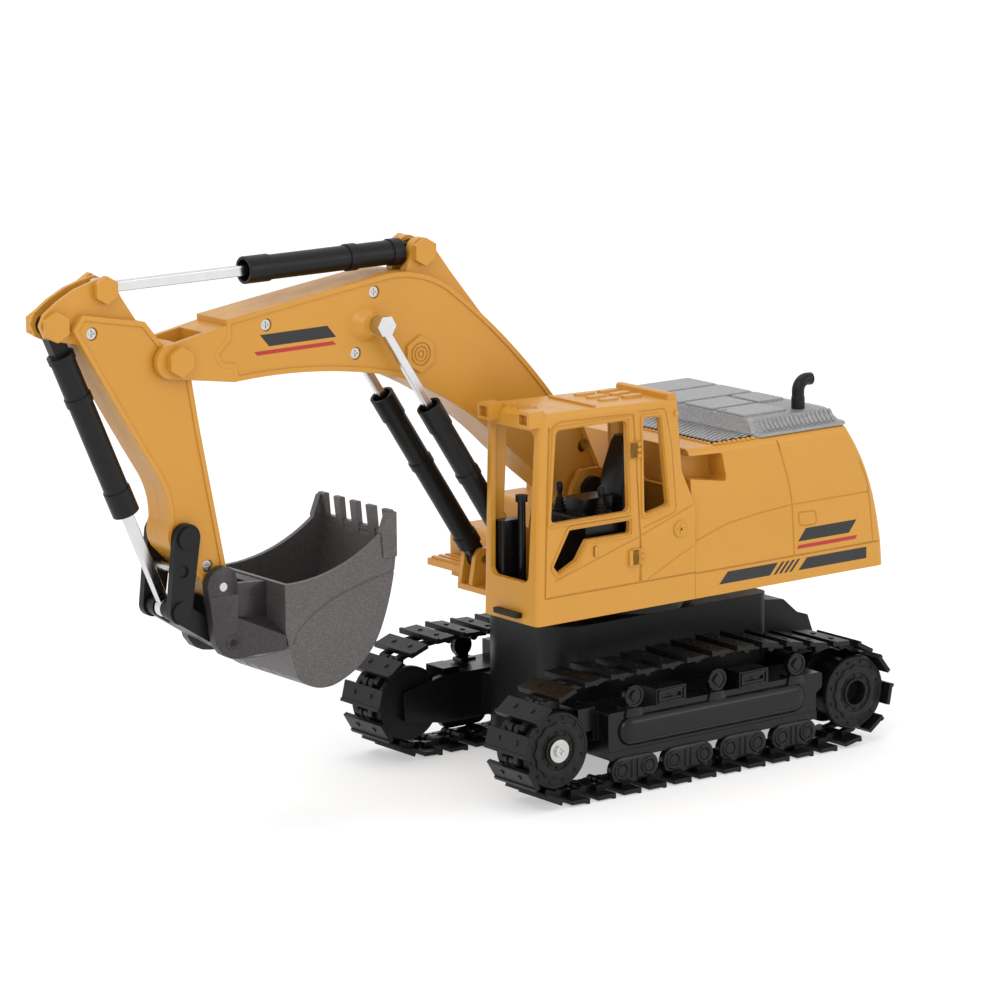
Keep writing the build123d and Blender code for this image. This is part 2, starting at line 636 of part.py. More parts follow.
def moulded_beam(side, half, screw_spots):
    """A hollow beam with a raised rim round each side face and screw seats in its left face."""
    body = along_y(side, -half, half)
    body -= along_y(offset(side, -SKIN), SKIN - half, half - SKIN)
    panel = offset(side, -RIM)
    body -= along_y(panel, half - RIM_STEP, half + 1) + along_y(panel, -half - 1, RIM_STEP - half)
    for spot in screw_spots:
        body += disc(spot, 3.4, 0.5 - half, half - RIM_STEP)
        body -= disc(spot, SCREW_HOLE_R, half - 2.4, half + 1)
        body -= disc(spot, 0.9, half - 7.5, half)
    return body


def beam_screws(half, screw_spots, length):
    """The cross-recess screws that hold a beam's two halves together."""
    return group(screw(spot, half - 1.1, length) for spot in screw_spots)


def boom_whole():
    """Both halves of the boom together, before they are parted on the centre plane."""
    socket = outline([(181, 164.2), (194, 165.9), (194, 183.5), (184.2, 186.6), (180, 187.2)])
    hook = [(184.3, 180.3), (190.3, 175), (187.1, 170), (182, 169.1), (181.3, 164.2)]
    clear = outline([(184.3, 190)] + hook + [(181.3, 160), (230, 160), (230, 190)])
    body = moulded_beam(boom_outline() + socket - clear, BOOM_HALF, BOOM_SCREWS)
    ear_top = [(101.3, 202.6), (96.4, 207.0), (91.6, 203.8), (84.0, 193.8)]
    ear_root = [(66.0, 171.9), (75, 172), (104.5, 190), (103.6, 196.6)]
    ear = outline(ear_top + ear_root, 0.9)
    for side in (-1, 1):
        low, high = sorted((side * 2.5, side * 6.2))
        body += along_y(ear, low, high) + disc(ELBOW_PIN, 5.0, low, high)
        cone = Pos(124.0, side * 10.7, 178.8) * Rot(X=-90 * side) * Cone(6.6, 3.6, 3.4)
        body += cone
        low, high = sorted((side * (BOOM_HALF - SKIN), side * (BOOM_HALF + 0.5)))
        body += hexagon((100.4, 165.4), 12.0, low, high, 30)
        for radius in (1.5, 3.0, 4.4):
            low, high = sorted((side * (BOOM_HALF + 0.1), side * (BOOM_HALF + 1)))
            body -= disc((100.4, 165.4), radius, low, high) - disc((100.4, 165.4), radius - 0.6, low, high)
    body += disc(BOOM_PIVOT, 7.5, -BOOM_HALF + 0.5, BOOM_HALF - 0.5)
    body += disc(BOOM_ROD_PIN, 4.2, -BOOM_HALF + 0.5, BOOM_HALF + 2.9)
    body += disc(BOOM_ROD_PIN, 3.4, -BOOM_HALF - 2.9, 0)
    body -= disc(BOOM_PIVOT, 3.0, -20, 20) + disc(BOOM_ROD_PIN, PIN_R, -20, 20) + disc(ELBOW_PIN, PIN_R, -20, 20)
    body -= disc((24.8, 122.2), 2.6, BOOM_HALF - 3, BOOM_HALF + 1)
    trough = axis_location(ELBOW_PIN, ARM_ROD_PIN, 0) * Pos(0, 0, 38) * Cylinder(5.7, 66)
    return body - trough


def boom_tip():
    """The forked tip that holds the arm."""
    body = along_y(tip_outline(), -BOOM_HALF, BOOM_HALF)
    body -= block(193.0, 220.0, -ARM_HALF - 0.3, ARM_HALF + 0.3, 150, 200)
    return body - disc(ARM_PIVOT, PIN_R, -20, 20)


def arm_outline():
    """The arm's side outline, rounded about its two end pivots and the rocker's pivot."""
    crown = Polyline((245.8, 189.0), (241.8, 194.0), (216.7, 189.1), (208.6, 179.1))
    top_end = ThreePointArc((208.6, 179.1), (200.2, 178.7), (198.8, 171.3))
    back = Polyline((198.8, 171.3), (194.9, 148.4), (184.2, 93.0))
    low_end = ThreePointArc((184.2, 93.0), (187.8, 86.8), (193.6, 89.6))
    heel = Polyline((193.6, 89.6), (196.4, 95.2), (207.4, 106.4))
    knee = ThreePointArc((207.4, 106.4), (209.2, 111.5), (208.2, 117.0))
    front = arc_run((208.2, 117.0), (209.2, 125.6), (212.1, 132.7), (228.0, 158.6), (245.8, 189.0))
    return curved_outline(crown, top_end, back, low_end, heel, knee, *front)


def bracket_outline():
    """The side outline of the bracket on top of the arm."""
    top = [(257.3, 191.3), (255.6, 195.0), (249.8, 199.1), (242.9, 202.6), (235.5, 204.8), (230.6, 205.8)]
    rear = [(227.2, 203.8), (224.7, 198.6), (218.4, 189.2)]
    root = [(222.0, 183.2), (241.0, 183.2), (250.0, 185.2), (255.4, 186.8)]
    return outline(top + rear + root, 1.0)


def arm_whole():
    """Both halves of the arm together, before they are parted on the centre plane."""
    body = moulded_beam(arm_outline(), ARM_HALF, ARM_SCREWS)
    for pivot in (ARM_PIVOT, ROCKER_PIVOT, BUCKET_PIVOT):
        body += disc(pivot, 4.2, RIM_STEP - ARM_HALF, ARM_HALF - RIM_STEP)
        body -= disc(pivot, PIN_R + GAP, -20, 20)
    return body - along_y(bracket_outline(), -4.2, 4.2)


def arm_bracket():
    """Two cheeks on a core that sits inside the arm, for the cylinder eyes."""
    side = bracket_outline()
    core = side & outline([(216, 182), (243, 182), (240.5, 194.0), (216, 192.0)])
    body = along_y(side, 2.4, 4.2) + along_y(side, -4.2, -2.4) + along_y(core, -2.5, 2.5)
    body -= disc(ARM_ROD_PIN, PIN_R, -20, 20) + disc(BUCKET_BARREL_PIN, PIN_R, -20, 20)
    return body


def halves(whole, reach):
    """The left and the right half of a body parted on the centre plane."""
    left = whole & block(0, 300, 0, reach, 40, 240)
    right = whole & block(0, 300, -reach, 0, 40, 240)
    return left, right


def hex_bolt(pivot, across, face, pin_r=PIN_R):
    """A pin across the machine with a hexagonal head on each side."""
    part = disc(pivot, pin_r, -face, face)
    for side in (-1, 1):
        low, high = sorted((side * face, side * (face + 2.4)))
        part += hexagon(pivot, across, low, high, 30)
    return part


def boom_rod_pin():
    """The pin through the boom with a nut outside each rod eye."""
    part = disc(BOOM_ROD_PIN, PIN_R, -17.4, 17.4)
    for side in (-1, 1):
        low, high = sorted((side * 16.3, side * 18.3))
        part += hexagon(BOOM_ROD_PIN, 7.0, low, high)
    return part


# Cylinders -----------------------------------------------------------------------
def barrel(foot, end, y, radius, collar, start, reach, rings, bore, bore_from):
    """A cylinder barrel: an eye at its foot, collars, and a bore that is open at its mouth."""
    place = axis_location(foot, end, y)
    body = place * Pos(0, 0, (reach + start) / 2) * Cylinder(radius, reach - start)
    for low, high in rings:
        body += place * Pos(0, 0, (low + high) / 2) * Cylinder(collar, high - low)
    body += place * Pos(0, 0, start / 2 + 0.5) * Box(6.0, 4.4, start)
    body += disc(foot, 3.6, y - 2.2, y + 2.2)
    body -= place * Pos(0, 0, (bore_from + reach + 1) / 2) * Cylinder(bore, reach + 1 - bore_from)
    return body - disc(foot, PIN_R + GAP, y - 5, y + 5)


def rod(eye, foot, y, reach, half_wide, half_deep, eye_r):
    """A flat-sided cylinder rod with an eye at its outer end."""
    place = axis_location(eye, foot, y)
    body = place * Pos(0, 0, reach / 2 + 1) * Box(2 * half_wide, 2 * half_deep, reach - 2)
    body = fillet(body.edges().filter_by(lambda e: e.length > reach / 2), 0.5)
    body += disc(eye, eye_r, y - 1.7, y + 1.7)
    return body - disc(eye, PIN_R + GAP, y - 5, y + 5)


# Bucket and its linkage ----------------------------------------------------------
def rocker():
    """The left rocker link between the arm and the bucket rod, with its pin caps."""
    side = bar_between(ROCKER_PIVOT, ROCKER_LOW, 5.2, 4.6, 7.35, 10.2)
    for pivot, radius in ((ROCKER_PIVOT, 4.2), (ROCKER_LOW, 3.7)):
        side += disc(pivot, radius, 10.2, 11.2)
    return side - disc(ROCKER_BAR, SCREW_HOLE_R, 9.4, 12)


def rocker_pins():
    """The rocker's hinge pin, cross bar and lower pin."""
    pins = disc(ROCKER_PIVOT, PIN_R, -7.35, 7.35)
    bar = disc(ROCKER_BAR, 1.6, -7.35, 7.35)
    low = disc(ROCKER_LOW, PIN_R, -7.35, 7.35)
    return group([pins, bar, low])


def bucket_link():
    """The forked link from the rocker to the bucket."""
    body = bar_between(ROCKER_LOW, LINK_PIN, 3.8, 3.4, -6.8, 6.8)
    body -= disc(ROCKER_LOW, 6.4, -2.5, 2.5)
    body -= disc(ROCKER_LOW, PIN_R + GAP, -20, 20)
    return body - disc(LINK_PIN, PIN_R + LINK_PLAY - 0.6, -20, 20)


def bucket_outline():
    """The bucket's side outline."""
    belly = arc_run(
        (121.2, 104.5), (123.2, 86.0), (128.4, 69.9), (135.4, 59.9), (145.8, 53.4), (156.3, 52.0), (165.4, 57.0)
    )
    back = Polyline((165.4, 57.0), (168.6, 67.7), (170.2, 74.0), (170.2, 91.6))
    brim = ThreePointArc((170.2, 91.6), (148.0, 94.2), (127.6, 104.5))
    return curved_outline(*belly, back, brim, Line((127.6, 104.5), (121.2, 104.5)))


def bucket():
    """The open bucket shell with five teeth."""
    side = bucket_outline()
    body = along_y(side, -BUCKET_HALF, BUCKET_HALF)
    inner = offset(side, -2.0)
    mouth = outline([(123.4, 100), (130, 92), (168.2, 85), (168.2, 120), (123.4, 120)])
    body -= along_y(inner, 2.0 - BUCKET_HALF, BUCKET_HALF - 2.0)
    body -= along_y(mouth, 2.0 - BUCKET_HALF, BUCKET_HALF - 2.0)
    tooth = outline([(121.2, 99.0), (123.2, 99.0), (124.8, 112.8), (122.4, 112.8)], 0.5)
    for i in range(5):
        y = -20 + 10 * i
        body += along_y(tooth, y - 2, y + 2)
    cutter = outline([(121.4, 95.5), (127.4, 95.5), (128.0, 105.0), (125.2, 112.0), (121.4, 112.0)], 0.5)
    for side in (-1, 1):
        low, high = sorted((side * 19.9, side * 22.6))
        body += along_y(cutter, low, high)
    return body


def bucket_bracket():
    """The bracket on the bucket's back, with its two ears."""
    ear = outline(
        [
            (188.6, 98.9),
            (193.4, 97.2),
            (195.6, 93.4),
            (193.8, 80.5),
            (193.2, 73.1),
            (190.3, 67.2),
            (184.8, 64.6),
            (170.3, 64.3),
            (170.3, 77.0),
            (180.5, 80.0),
            (181.5, 92.3),
            (184.0, 97.4),
        ],
        1.4,
    )
    body = along_y(ear, EAR_IN, EAR_OUT) + along_y(ear, -EAR_OUT, -EAR_IN)
    body += block(170.25, 179.0, -16.0, 16.0, 66.0, 92.0)
    plan = Polygon((170.25, -20), (170.25, 20), (175, 18.5), (183, 11), (183, -11), (175, -18.5), align=None)
    wedge = Pos(0, 0, 65.0) * extrude(plan, 10.0)
    body += wedge - block(178.5, 190, -EAR_IN, EAR_IN, 60, 80)
    for pivot, radius in ((BUCKET_PIVOT, PIN_R), (LINK_PIN, PIN_R)):
        body -= disc(pivot, radius, -20, 20)
    return body


def bucket_pins():
    """The bucket's hinge pin and the lower pin of its link."""
    return group([disc(BUCKET_PIVOT, PIN_R, -EAR_OUT, EAR_OUT), disc(LINK_PIN, PIN_R - 0.6, -EAR_OUT, EAR_OUT)])


# Every node ------------------------------------------------------------------------
def cylinders():
    """The eight parts of the four hydraulic cylinders, by name."""
    boom_rings = [(7, 12), (46, 49), (70, 80)]
    parts = {}
    for name, y in (("left", BOOM_CYL_Y), ("right", -BOOM_CYL_Y)):
        parts[f"boom_barrel_{name}"] = barrel(
            BOOM_BARREL_PIN, BOOM_ROD_PIN, y, BARREL_R, COLLAR_R, 6.5, 80, boom_rings, 3.6, 18
        )
        parts[f"boom_rod_{name}"] = rod(BOOM_ROD_PIN, BOOM_BARREL_PIN, y, 80, 1.6, 1.4, 3.4)
    arm_rings = [(6.5, 11), (26, 30), (64, 74)]
    parts["arm_barrel"] = barrel(ELBOW_PIN, ARM_ROD_PIN, 0, 4.5, 4.95, 6.5, 74, arm_rings, 3.9, 14)
    parts["arm_rod"] = rod(ARM_ROD_PIN, ELBOW_PIN, 0, 102, 1.9, 1.5, 3.6)
    bucket_rings = [(11.5, 14), (28, 31), (66, 75.5)]
    parts["bucket_barrel"] = barrel(
        BUCKET_BARREL_PIN, ROCKER_LOW, 0, 4.5, 4.95, 11.5, 75.5, bucket_rings, 3.9, 18
    )
    parts["bucket_rod"] = rod(ROCKER_LOW, BUCKET_BARREL_PIN, 0, 81, 2.0, 1.5, 3.5)
    return parts


def main():
    parts = {
        "chassis": chassis(),
        "chassis_screws": chassis_screws(),
        "battery_cover": battery_cover(),
        "drive_gearboxes": group([drive_gearbox(), other_side(drive_gearbox())]),
        "idler_screws": group([wheel_screw(), other_side(wheel_screw())]),
        "battery_pack": battery_pack(),
        "power_switch": switch_slider(),
        "turntable_base": turntable_base(),
        "turntable_ring": turntable_ring(),
        "house_base": house_base(),
        "house_shell": house_shell(),
        "cab_shell": cab_shell(),
        "roof_inlays": roof_inlays(),
        "front_step": front_step(),
        "right_deck": right_deck(),
        "hood_cover": hood_cover(),
        "mesh_grille": mesh_grille(),
        "exhaust_pipe": exhaust_pipe(),
        "cab_seat": cab_seat(),
        "cab_console": cab_console(),
        "control_levers": control_levers(),
        "cab_column": cab_column(),
        "boom_gearbox": boom_gearbox(),
        "circuit_board": circuit_board(),
        "boom_foot_pin": boom_foot_pin(),
        "cylinder_foot_pins": foot_pins(),
        "boom_tip": boom_tip(),
        "boom_screws": beam_screws(BOOM_HALF, BOOM_SCREWS, 6.2),
        "boom_tip_bolt": hex_bolt(ARM_PIVOT, 9.6, BOOM_HALF),
        "elbow_bolt": hex_bolt(ELBOW_PIN, 9.0, 6.2),
        "boom_rod_pin": boom_rod_pin(),
        "arm_bracket": arm_bracket(),
        "arm_screws": beam_screws(ARM_HALF, ARM_SCREWS, 1.6),
        "arm_bolts": group([hex_bolt(BUCKET_BARREL_PIN, 9.4, 4.2), hex_bolt(ARM_ROD_PIN, 8.6, 4.2)]),
        "rocker_links": group([rocker(), other_side(rocker())]),
        "rocker_pins": rocker_pins(),
        "bucket_link": bucket_link(),
        "bucket": bucket(),
        "bucket_bracket": bucket_bracket(),
        "bucket_pins": bucket_pins(),
    }
    parts["boom_left"], parts["boom_right"] = halves(boom_whole(), 20)
    parts["arm_left"], parts["arm_right"] = halves(arm_whole(), 20)
    left_side = {
        "track_frame": track_frame(),
        "idler_wheel": wheel(FRONT_WHEEL, False),
        "drive_wheel": wheel(REAR_WHEEL, True),
    }
    for name, shape in left_side.items():
        parts[f"{name}_left"] = shape
        parts[f"{name}_right"] = other_side(shape)
    for side in ("left", "right"):
        parts[f"track_belt_{side}"] = track(side)
    parts.update(cylinders())
    for name, shape in parts.items():
        save(shape, name)


main()
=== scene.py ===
import json
from math import cos, hypot, pi, radians, sin, sqrt

import bmesh
import bpy
from mathutils import Matrix, Vector
from mathutils.bvhtree import BVHTree


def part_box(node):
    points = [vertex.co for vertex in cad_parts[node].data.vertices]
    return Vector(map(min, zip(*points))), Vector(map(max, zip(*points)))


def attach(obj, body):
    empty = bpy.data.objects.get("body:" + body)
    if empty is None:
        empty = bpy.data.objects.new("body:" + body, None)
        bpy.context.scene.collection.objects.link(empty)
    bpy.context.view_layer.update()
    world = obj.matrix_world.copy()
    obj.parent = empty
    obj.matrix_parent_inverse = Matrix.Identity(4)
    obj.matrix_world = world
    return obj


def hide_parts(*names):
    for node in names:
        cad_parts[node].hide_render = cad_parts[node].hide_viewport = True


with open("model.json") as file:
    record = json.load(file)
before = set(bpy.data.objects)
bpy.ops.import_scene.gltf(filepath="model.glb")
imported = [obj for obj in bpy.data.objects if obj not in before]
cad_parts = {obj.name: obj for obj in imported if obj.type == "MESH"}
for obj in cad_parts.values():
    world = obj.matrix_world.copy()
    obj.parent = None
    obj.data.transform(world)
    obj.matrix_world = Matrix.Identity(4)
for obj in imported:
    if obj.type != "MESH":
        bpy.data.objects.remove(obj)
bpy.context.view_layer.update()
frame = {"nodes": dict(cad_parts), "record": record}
NODES = frame["nodes"]
MM = 0.001
SHARP = 38  # degrees between two faces above which their edge stays sharp
NOISE_ROUGHNESS = 0.55
PLASTIC_EDGE = 0.35 * MM
PAINT_EDGE = 0.3 * MM
METAL_EDGE = 0.15 * MM
SIDE_RAY = 90.0  # how far out a ray starts that looks for a side wall


# Materials -------------------------------------------------------------------
class Shading:
    """A material's node tree, with the few nodes that every finish here uses."""

    def __init__(self, name):
        self.material = bpy.data.materials.new(name)
        self.material.use_nodes = True
        self.tree = self.material.node_tree
        self.shader = self.tree.nodes["Principled BSDF"]
        self.place = self.node("ShaderNodeTexCoord").outputs["Object"]

    def node(self, kind, **settings):
        made = self.tree.nodes.new(kind)
        for name, value in settings.items():
            setattr(made, name, value)
        return made

    def link(self, source, target):
        self.tree.links.new(source, target)

    def noise(self, per_metre, detail=3.0):
        """Noise over the object's own coordinates, given its scale per metre."""
        made = self.node("ShaderNodeTexNoise")
        made.inputs["Scale"].default_value = per_metre
        made.inputs["Detail"].default_value = detail
        made.inputs["Roughness"].default_value = NOISE_ROUGHNESS
        self.link(self.place, made.inputs["Vector"])
        return made.outputs["Fac"]

    def flakes(self, per_metre):
        """A different grey for every small cell."""
        made = self.node("ShaderNodeTexVoronoi")
        made.inputs["Scale"].default_value = per_metre
        self.link(self.place, made.inputs["Vector"])
        return made.outputs["Color"]

    def spread(self, source, low, high, start=0.3, end=0.7):
        """A source from 0 to 1 brought to the range low to high."""
        made = self.node("ShaderNodeMapRange")
        made.inputs["From Min"].default_value = start
        made.inputs["From Max"].default_value = end
        made.inputs["To Min"].default_value = low
        made.inputs["To Max"].default_value = high
        self.link(source, made.inputs["Value"])
        return made.outputs["Result"]

    def mix(self, fac, first, second):
        """A colour between two, by a source from 0 to 1. Either may be an output."""
        made = self.node("ShaderNodeMix", data_type="RGBA")
        self.link(fac, made.inputs["Factor"])
        for socket, value in ((made.inputs[6], first), (made.inputs[7], second)):
            if isinstance(value, tuple):
                socket.default_value = (*value, 1)
            else:
                self.link(value, socket)
        return made.outputs[2]

    def relief(self, height, depth, edge=0.0):
        """Bump of a given depth in metres over edges that are rounded by a radius."""
        bump = self.node("ShaderNodeBump")
        bump.inputs["Strength"].default_value = 1.0
        bump.inputs["Distance"].default_value = depth
        self.link(height, bump.inputs["Height"])
        if edge:
            rounded = self.node("ShaderNodeBevel", samples=4)
            rounded.inputs["Radius"].default_value = edge
            self.link(rounded.outputs["Normal"], bump.inputs["Normal"])
        self.link(bump.outputs["Normal"], self.shader.inputs["Normal"])


def moulded_plastic(name, light, dark, roughness, grain=6e-6, coat=0.0, edge=PLASTIC_EDGE,
                    gloss=0.35):
    """Injection-moulded plastic: faint flow marks, uneven gloss and a fine skin texture."""
    s = Shading(name)
    tone = s.spread(s.noise(38, 4), 0, 1)
    s.link(s.mix(tone, dark, light), s.shader.inputs["Base Color"])
    uneven = s.spread(s.noise(130, 4), roughness - 0.05, roughness + 0.06)
    s.link(uneven, s.shader.inputs["Roughness"])
    s.relief(s.noise(2600, 2), grain, edge)
    s.shader.inputs["Specular IOR Level"].default_value = gloss
    s.shader.inputs["Coat Weight"].default_value = coat
    s.shader.inputs["Coat Roughness"].default_value = 0.12
    return s.material


def metallic_paint(name, light, dark, roughness, metallic):
    """Grey paint with metal flake that sparkles, over a slightly uneven casting."""
    s = Shading(name)
    tone = s.spread(s.noise(60, 5), 0.25, 0.75)
    base = s.mix(tone, dark, light)
    fleck = s.node("ShaderNodeSeparateColor")
    s.link(s.flakes(3600), fleck.inputs["Color"])
    sparkle = s.spread(fleck.outputs["Red"], 0, 0.55, 0.55, 1.0)
    bright = tuple(min(1.0, 1.9 * c) for c in light)
    s.link(s.mix(sparkle, base, bright), s.shader.inputs["Base Color"])
    uneven = s.spread(fleck.outputs["Green"], roughness - 0.1, roughness + 0.1, 0, 1)
    s.link(uneven, s.shader.inputs["Roughness"])
    s.shader.inputs["Metallic"].default_value = metallic
    s.relief(s.noise(900, 3), 1.2e-5, PAINT_EDGE)
    return s.material


def bare_metal(name, colour, roughness):
    """Bright metal with a fine grain and small changes of gloss."""
    s = Shading(name)
    tone = s.spread(s.noise(160, 4), 0, 1)
    shade = tuple(0.93 * c for c in colour)
    s.link(s.mix(tone, shade, colour), s.shader.inputs["Base Color"])
    uneven = s.spread(s.noise(300, 3), roughness - 0.03, roughness + 0.04)
    s.link(uneven, s.shader.inputs["Roughness"])
    s.shader.inputs["Metallic"].default_value = 1.0
    s.relief(s.noise(1200, 2), 1e-6, METAL_EDGE)
    return s.material


YELLOW = moulded_plastic("yellow plastic", (0.56, 0.262, 0.031), (0.535, 0.247, 0.028),
                         0.36, 5e-6, 0.08)
BLACK = moulded_plastic("black plastic", (0.006, 0.006, 0.0062), (0.004, 0.004, 0.0042),
                        0.38, 8e-6, gloss=0.24)
GLOSS_BLACK = moulded_plastic("gloss black plastic", (0.005, 0.005, 0.0055), (0.0035, 0.0035, 0.004),
                              0.24, 4e-6, gloss=0.28)
HOOD = metallic_paint("hood paint", (0.27, 0.267, 0.268), (0.22, 0.217, 0.218), 0.38, 0.5)
BUCKET = metallic_paint("bucket paint", (0.105, 0.098, 0.098), (0.082, 0.076, 0.076), 0.42, 0.6)
BRACKET = metallic_paint("bracket paint", (0.045, 0.042, 0.042), (0.034, 0.031, 0.031), 0.4, 0.5)
ROD = bare_metal("rod metal", (0.66, 0.655, 0.66), 0.2)
SCREW = bare_metal("screw steel", (0.58, 0.57, 0.55), 0.28)
MESH_METAL = bare_metal("mesh metal", (0.52, 0.52, 0.53), 0.36)
SLEEVE = moulded_plastic("cell sleeve", (0.03, 0.09, 0.30), (0.02, 0.07, 0.24), 0.3)
BOARD = moulded_plastic("circuit board", (0.02, 0.16, 0.05), (0.015, 0.12, 0.04), 0.4)
DECAL = moulded_plastic("decal ink", (0.012, 0.012, 0.013), (0.008, 0.008, 0.009),
                        0.28, 1e-6, 0.2, 0.0)
DECAL_RED = moulded_plastic("red decal ink", (0.42, 0.018, 0.014), (0.36, 0.014, 0.012),
                            0.3, 1e-6, 0.2, 0.0)

SLOT_MATERIALS = {
    "yellow_plastic": YELLOW,
    "black_plastic": BLACK,
    "rod_metal": ROD,
    "screw_steel": SCREW,
    "bucket_metal": BUCKET,
    "bracket_metal": BRACKET,
    "hood_grey": HOOD,
    "mesh_grey": MESH_METAL,
    "cell_sleeve": SLEEVE,
    "board_green": BOARD,
}
GLOSSY_NODES = ("track_frame_left", "track_frame_right", "cab_console", "cab_column",
                "turntable_base")


def finish_cad_nodes():
    """Every CAD node gets its slot's material."""
    for part in frame["record"]["subparts"]:
        node = NODES[part["node"]]
        finish = SLOT_MATERIALS[part["material_slot"]]
        if part["node"] in GLOSSY_NODES:
            finish = GLOSS_BLACK
        node.data.materials.clear()
        node.data.materials.append(finish)


# Mesh helpers ----------------------------------------------------------------
def settle(mesh, angle):
    """Smooth faces with sharp corners, free of any normals that came with the geometry."""
    if "custom_normal" in mesh.attributes:
        mesh.attributes.remove(mesh.attributes["custom_normal"])
    mesh.polygons.foreach_set("use_smooth", [True] * len(mesh.polygons))
    mesh.set_sharp_from_angle(angle=radians(angle))


def mesh_object(name, bm):
    """A bmesh made into an object of the scene. It uses the bmesh up."""
    mesh = bpy.data.meshes.new(name)
    bm.to_mesh(mesh)
    bm.free()
    made = bpy.data.objects.new(name, mesh)
    bpy.context.scene.collection.objects.link(made)
    return made


def add_piece(name, bm, material, body, replaces=(), angle=SHARP):
    """A finished mesh becomes a piece that rides on a body."""
    bmesh.ops.recalc_face_normals(bm, faces=bm.faces)
    piece = mesh_object(name, bm)
    piece.data.materials.append(material)
    settle(piece.data, angle)
    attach(piece, body)
    if replaces:
        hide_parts(*replaces)
    return piece


def box_mm(node):
    """The low and high corners of a CAD node's box, in millimetres."""
    low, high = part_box(node)
    return low / MM, high / MM


def turns(count, start=0.0):
    """Angles spread evenly round a circle, the first one a part of a step on from zero."""
    return [2 * pi * (i + start) / count for i in range(count)]


def place(x, y, z):
    """A point given in millimetres."""
    return Vector((x, y, z)) * MM


def add_loft(bm, sections):
    """A closed solid through closed sections with the same number of points."""
    rings = [[bm.verts.new(p) for p in section] for section in sections]
    for low, high in zip(rings, rings[1:]):
        for i in range(len(low)):
            k = (i + 1) % len(low)
            bm.faces.new((low[i], low[k], high[k], high[i]))
    bm.faces.new(rings[0][::-1])
    bm.faces.new(rings[-1])


def rounded_rectangle(x0, x1, y0, y1, z, radius, steps=6):
    """A level closed section with round corners."""
    points = []
    corners = ((x1 - radius, y1 - radius, 0), (x0 + radius, y1 - radius, 90),
               (x0 + radius, y0 + radius, 180), (x1 - radius, y0 + radius, 270))
    for x, y, start in corners:
        for i in range(steps + 1):
            turn = radians(start + 90 * i / steps)
            points.append(place(x + radius * cos(turn), y + radius * sin(turn), z))
    return points


def frames_along(path):
    """Two directions across a path at each of its points, that don't twist."""
    found = []
    side = None
    for i, point in enumerate(path):
        ahead = path[min(i + 1, len(path) - 1)] - path[max(i - 1, 0)]
        ahead.normalize()
        if side is None:
            side = ahead.orthogonal().normalized()
        side = (side - ahead * side.dot(ahead)).normalized()
        found.append((side, ahead.cross(side)))
    return found


def add_tube(bm, path, radii, around=24):
    """A closed round bar along a path, with a radius in metres at each point."""
    sections = []
    for point, radius, (a, b) in zip(path, radii, frames_along(path)):
        sections.append([point + (a * cos(turn) + b * sin(turn)) * radius
                         for turn in turns(around)])
    add_loft(bm, sections)


def add_lathe(bm, start, direction, profile, around=32):
    """A turned shape: profile gives pairs of distance along and radius, in millimetres."""
    along = Vector(direction).normalized()
    side = along.orthogonal().normalized()
    across = along.cross(side)
    sections = []
    for run, radius in profile:
        centre = start + along * (run * MM)
        sections.append([centre + (side * cos(turn) + across * sin(turn)) * (radius * MM)
                         for turn in turns(around)])
    add_loft(bm, sections)


def surface_tree(*nodes):
    """What a ray meets first among some CAD nodes."""
    whole = bmesh.new()
    for name in nodes:
        whole.from_mesh(NODES[name].data)
    tree = BVHTree.FromBMesh(whole)
    whole.free()
    return tree


def side_hit(tree, x, z, side):
    """Where a ray from one side of the machine first meets a surface, or None."""
    return tree.ray_cast(place(x, side * SIDE_RAY, z), Vector((0, -side, 0)))[0]


# House -----------------------------------------------------------------------
HOOD_PANELS = ((-51, -29.6, 2, 19), (-66, -29.6, -19, 0), (-66, -29.6, -39, -21),
               (-51, -29.6, 21, 38), (-66, -53, 2, 19))
LOUVRES = 17
LOUVRE_PITCH = 2.15
STUD_PITCH = 2.3
HOUSE_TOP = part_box("house_shell")[1].z / MM


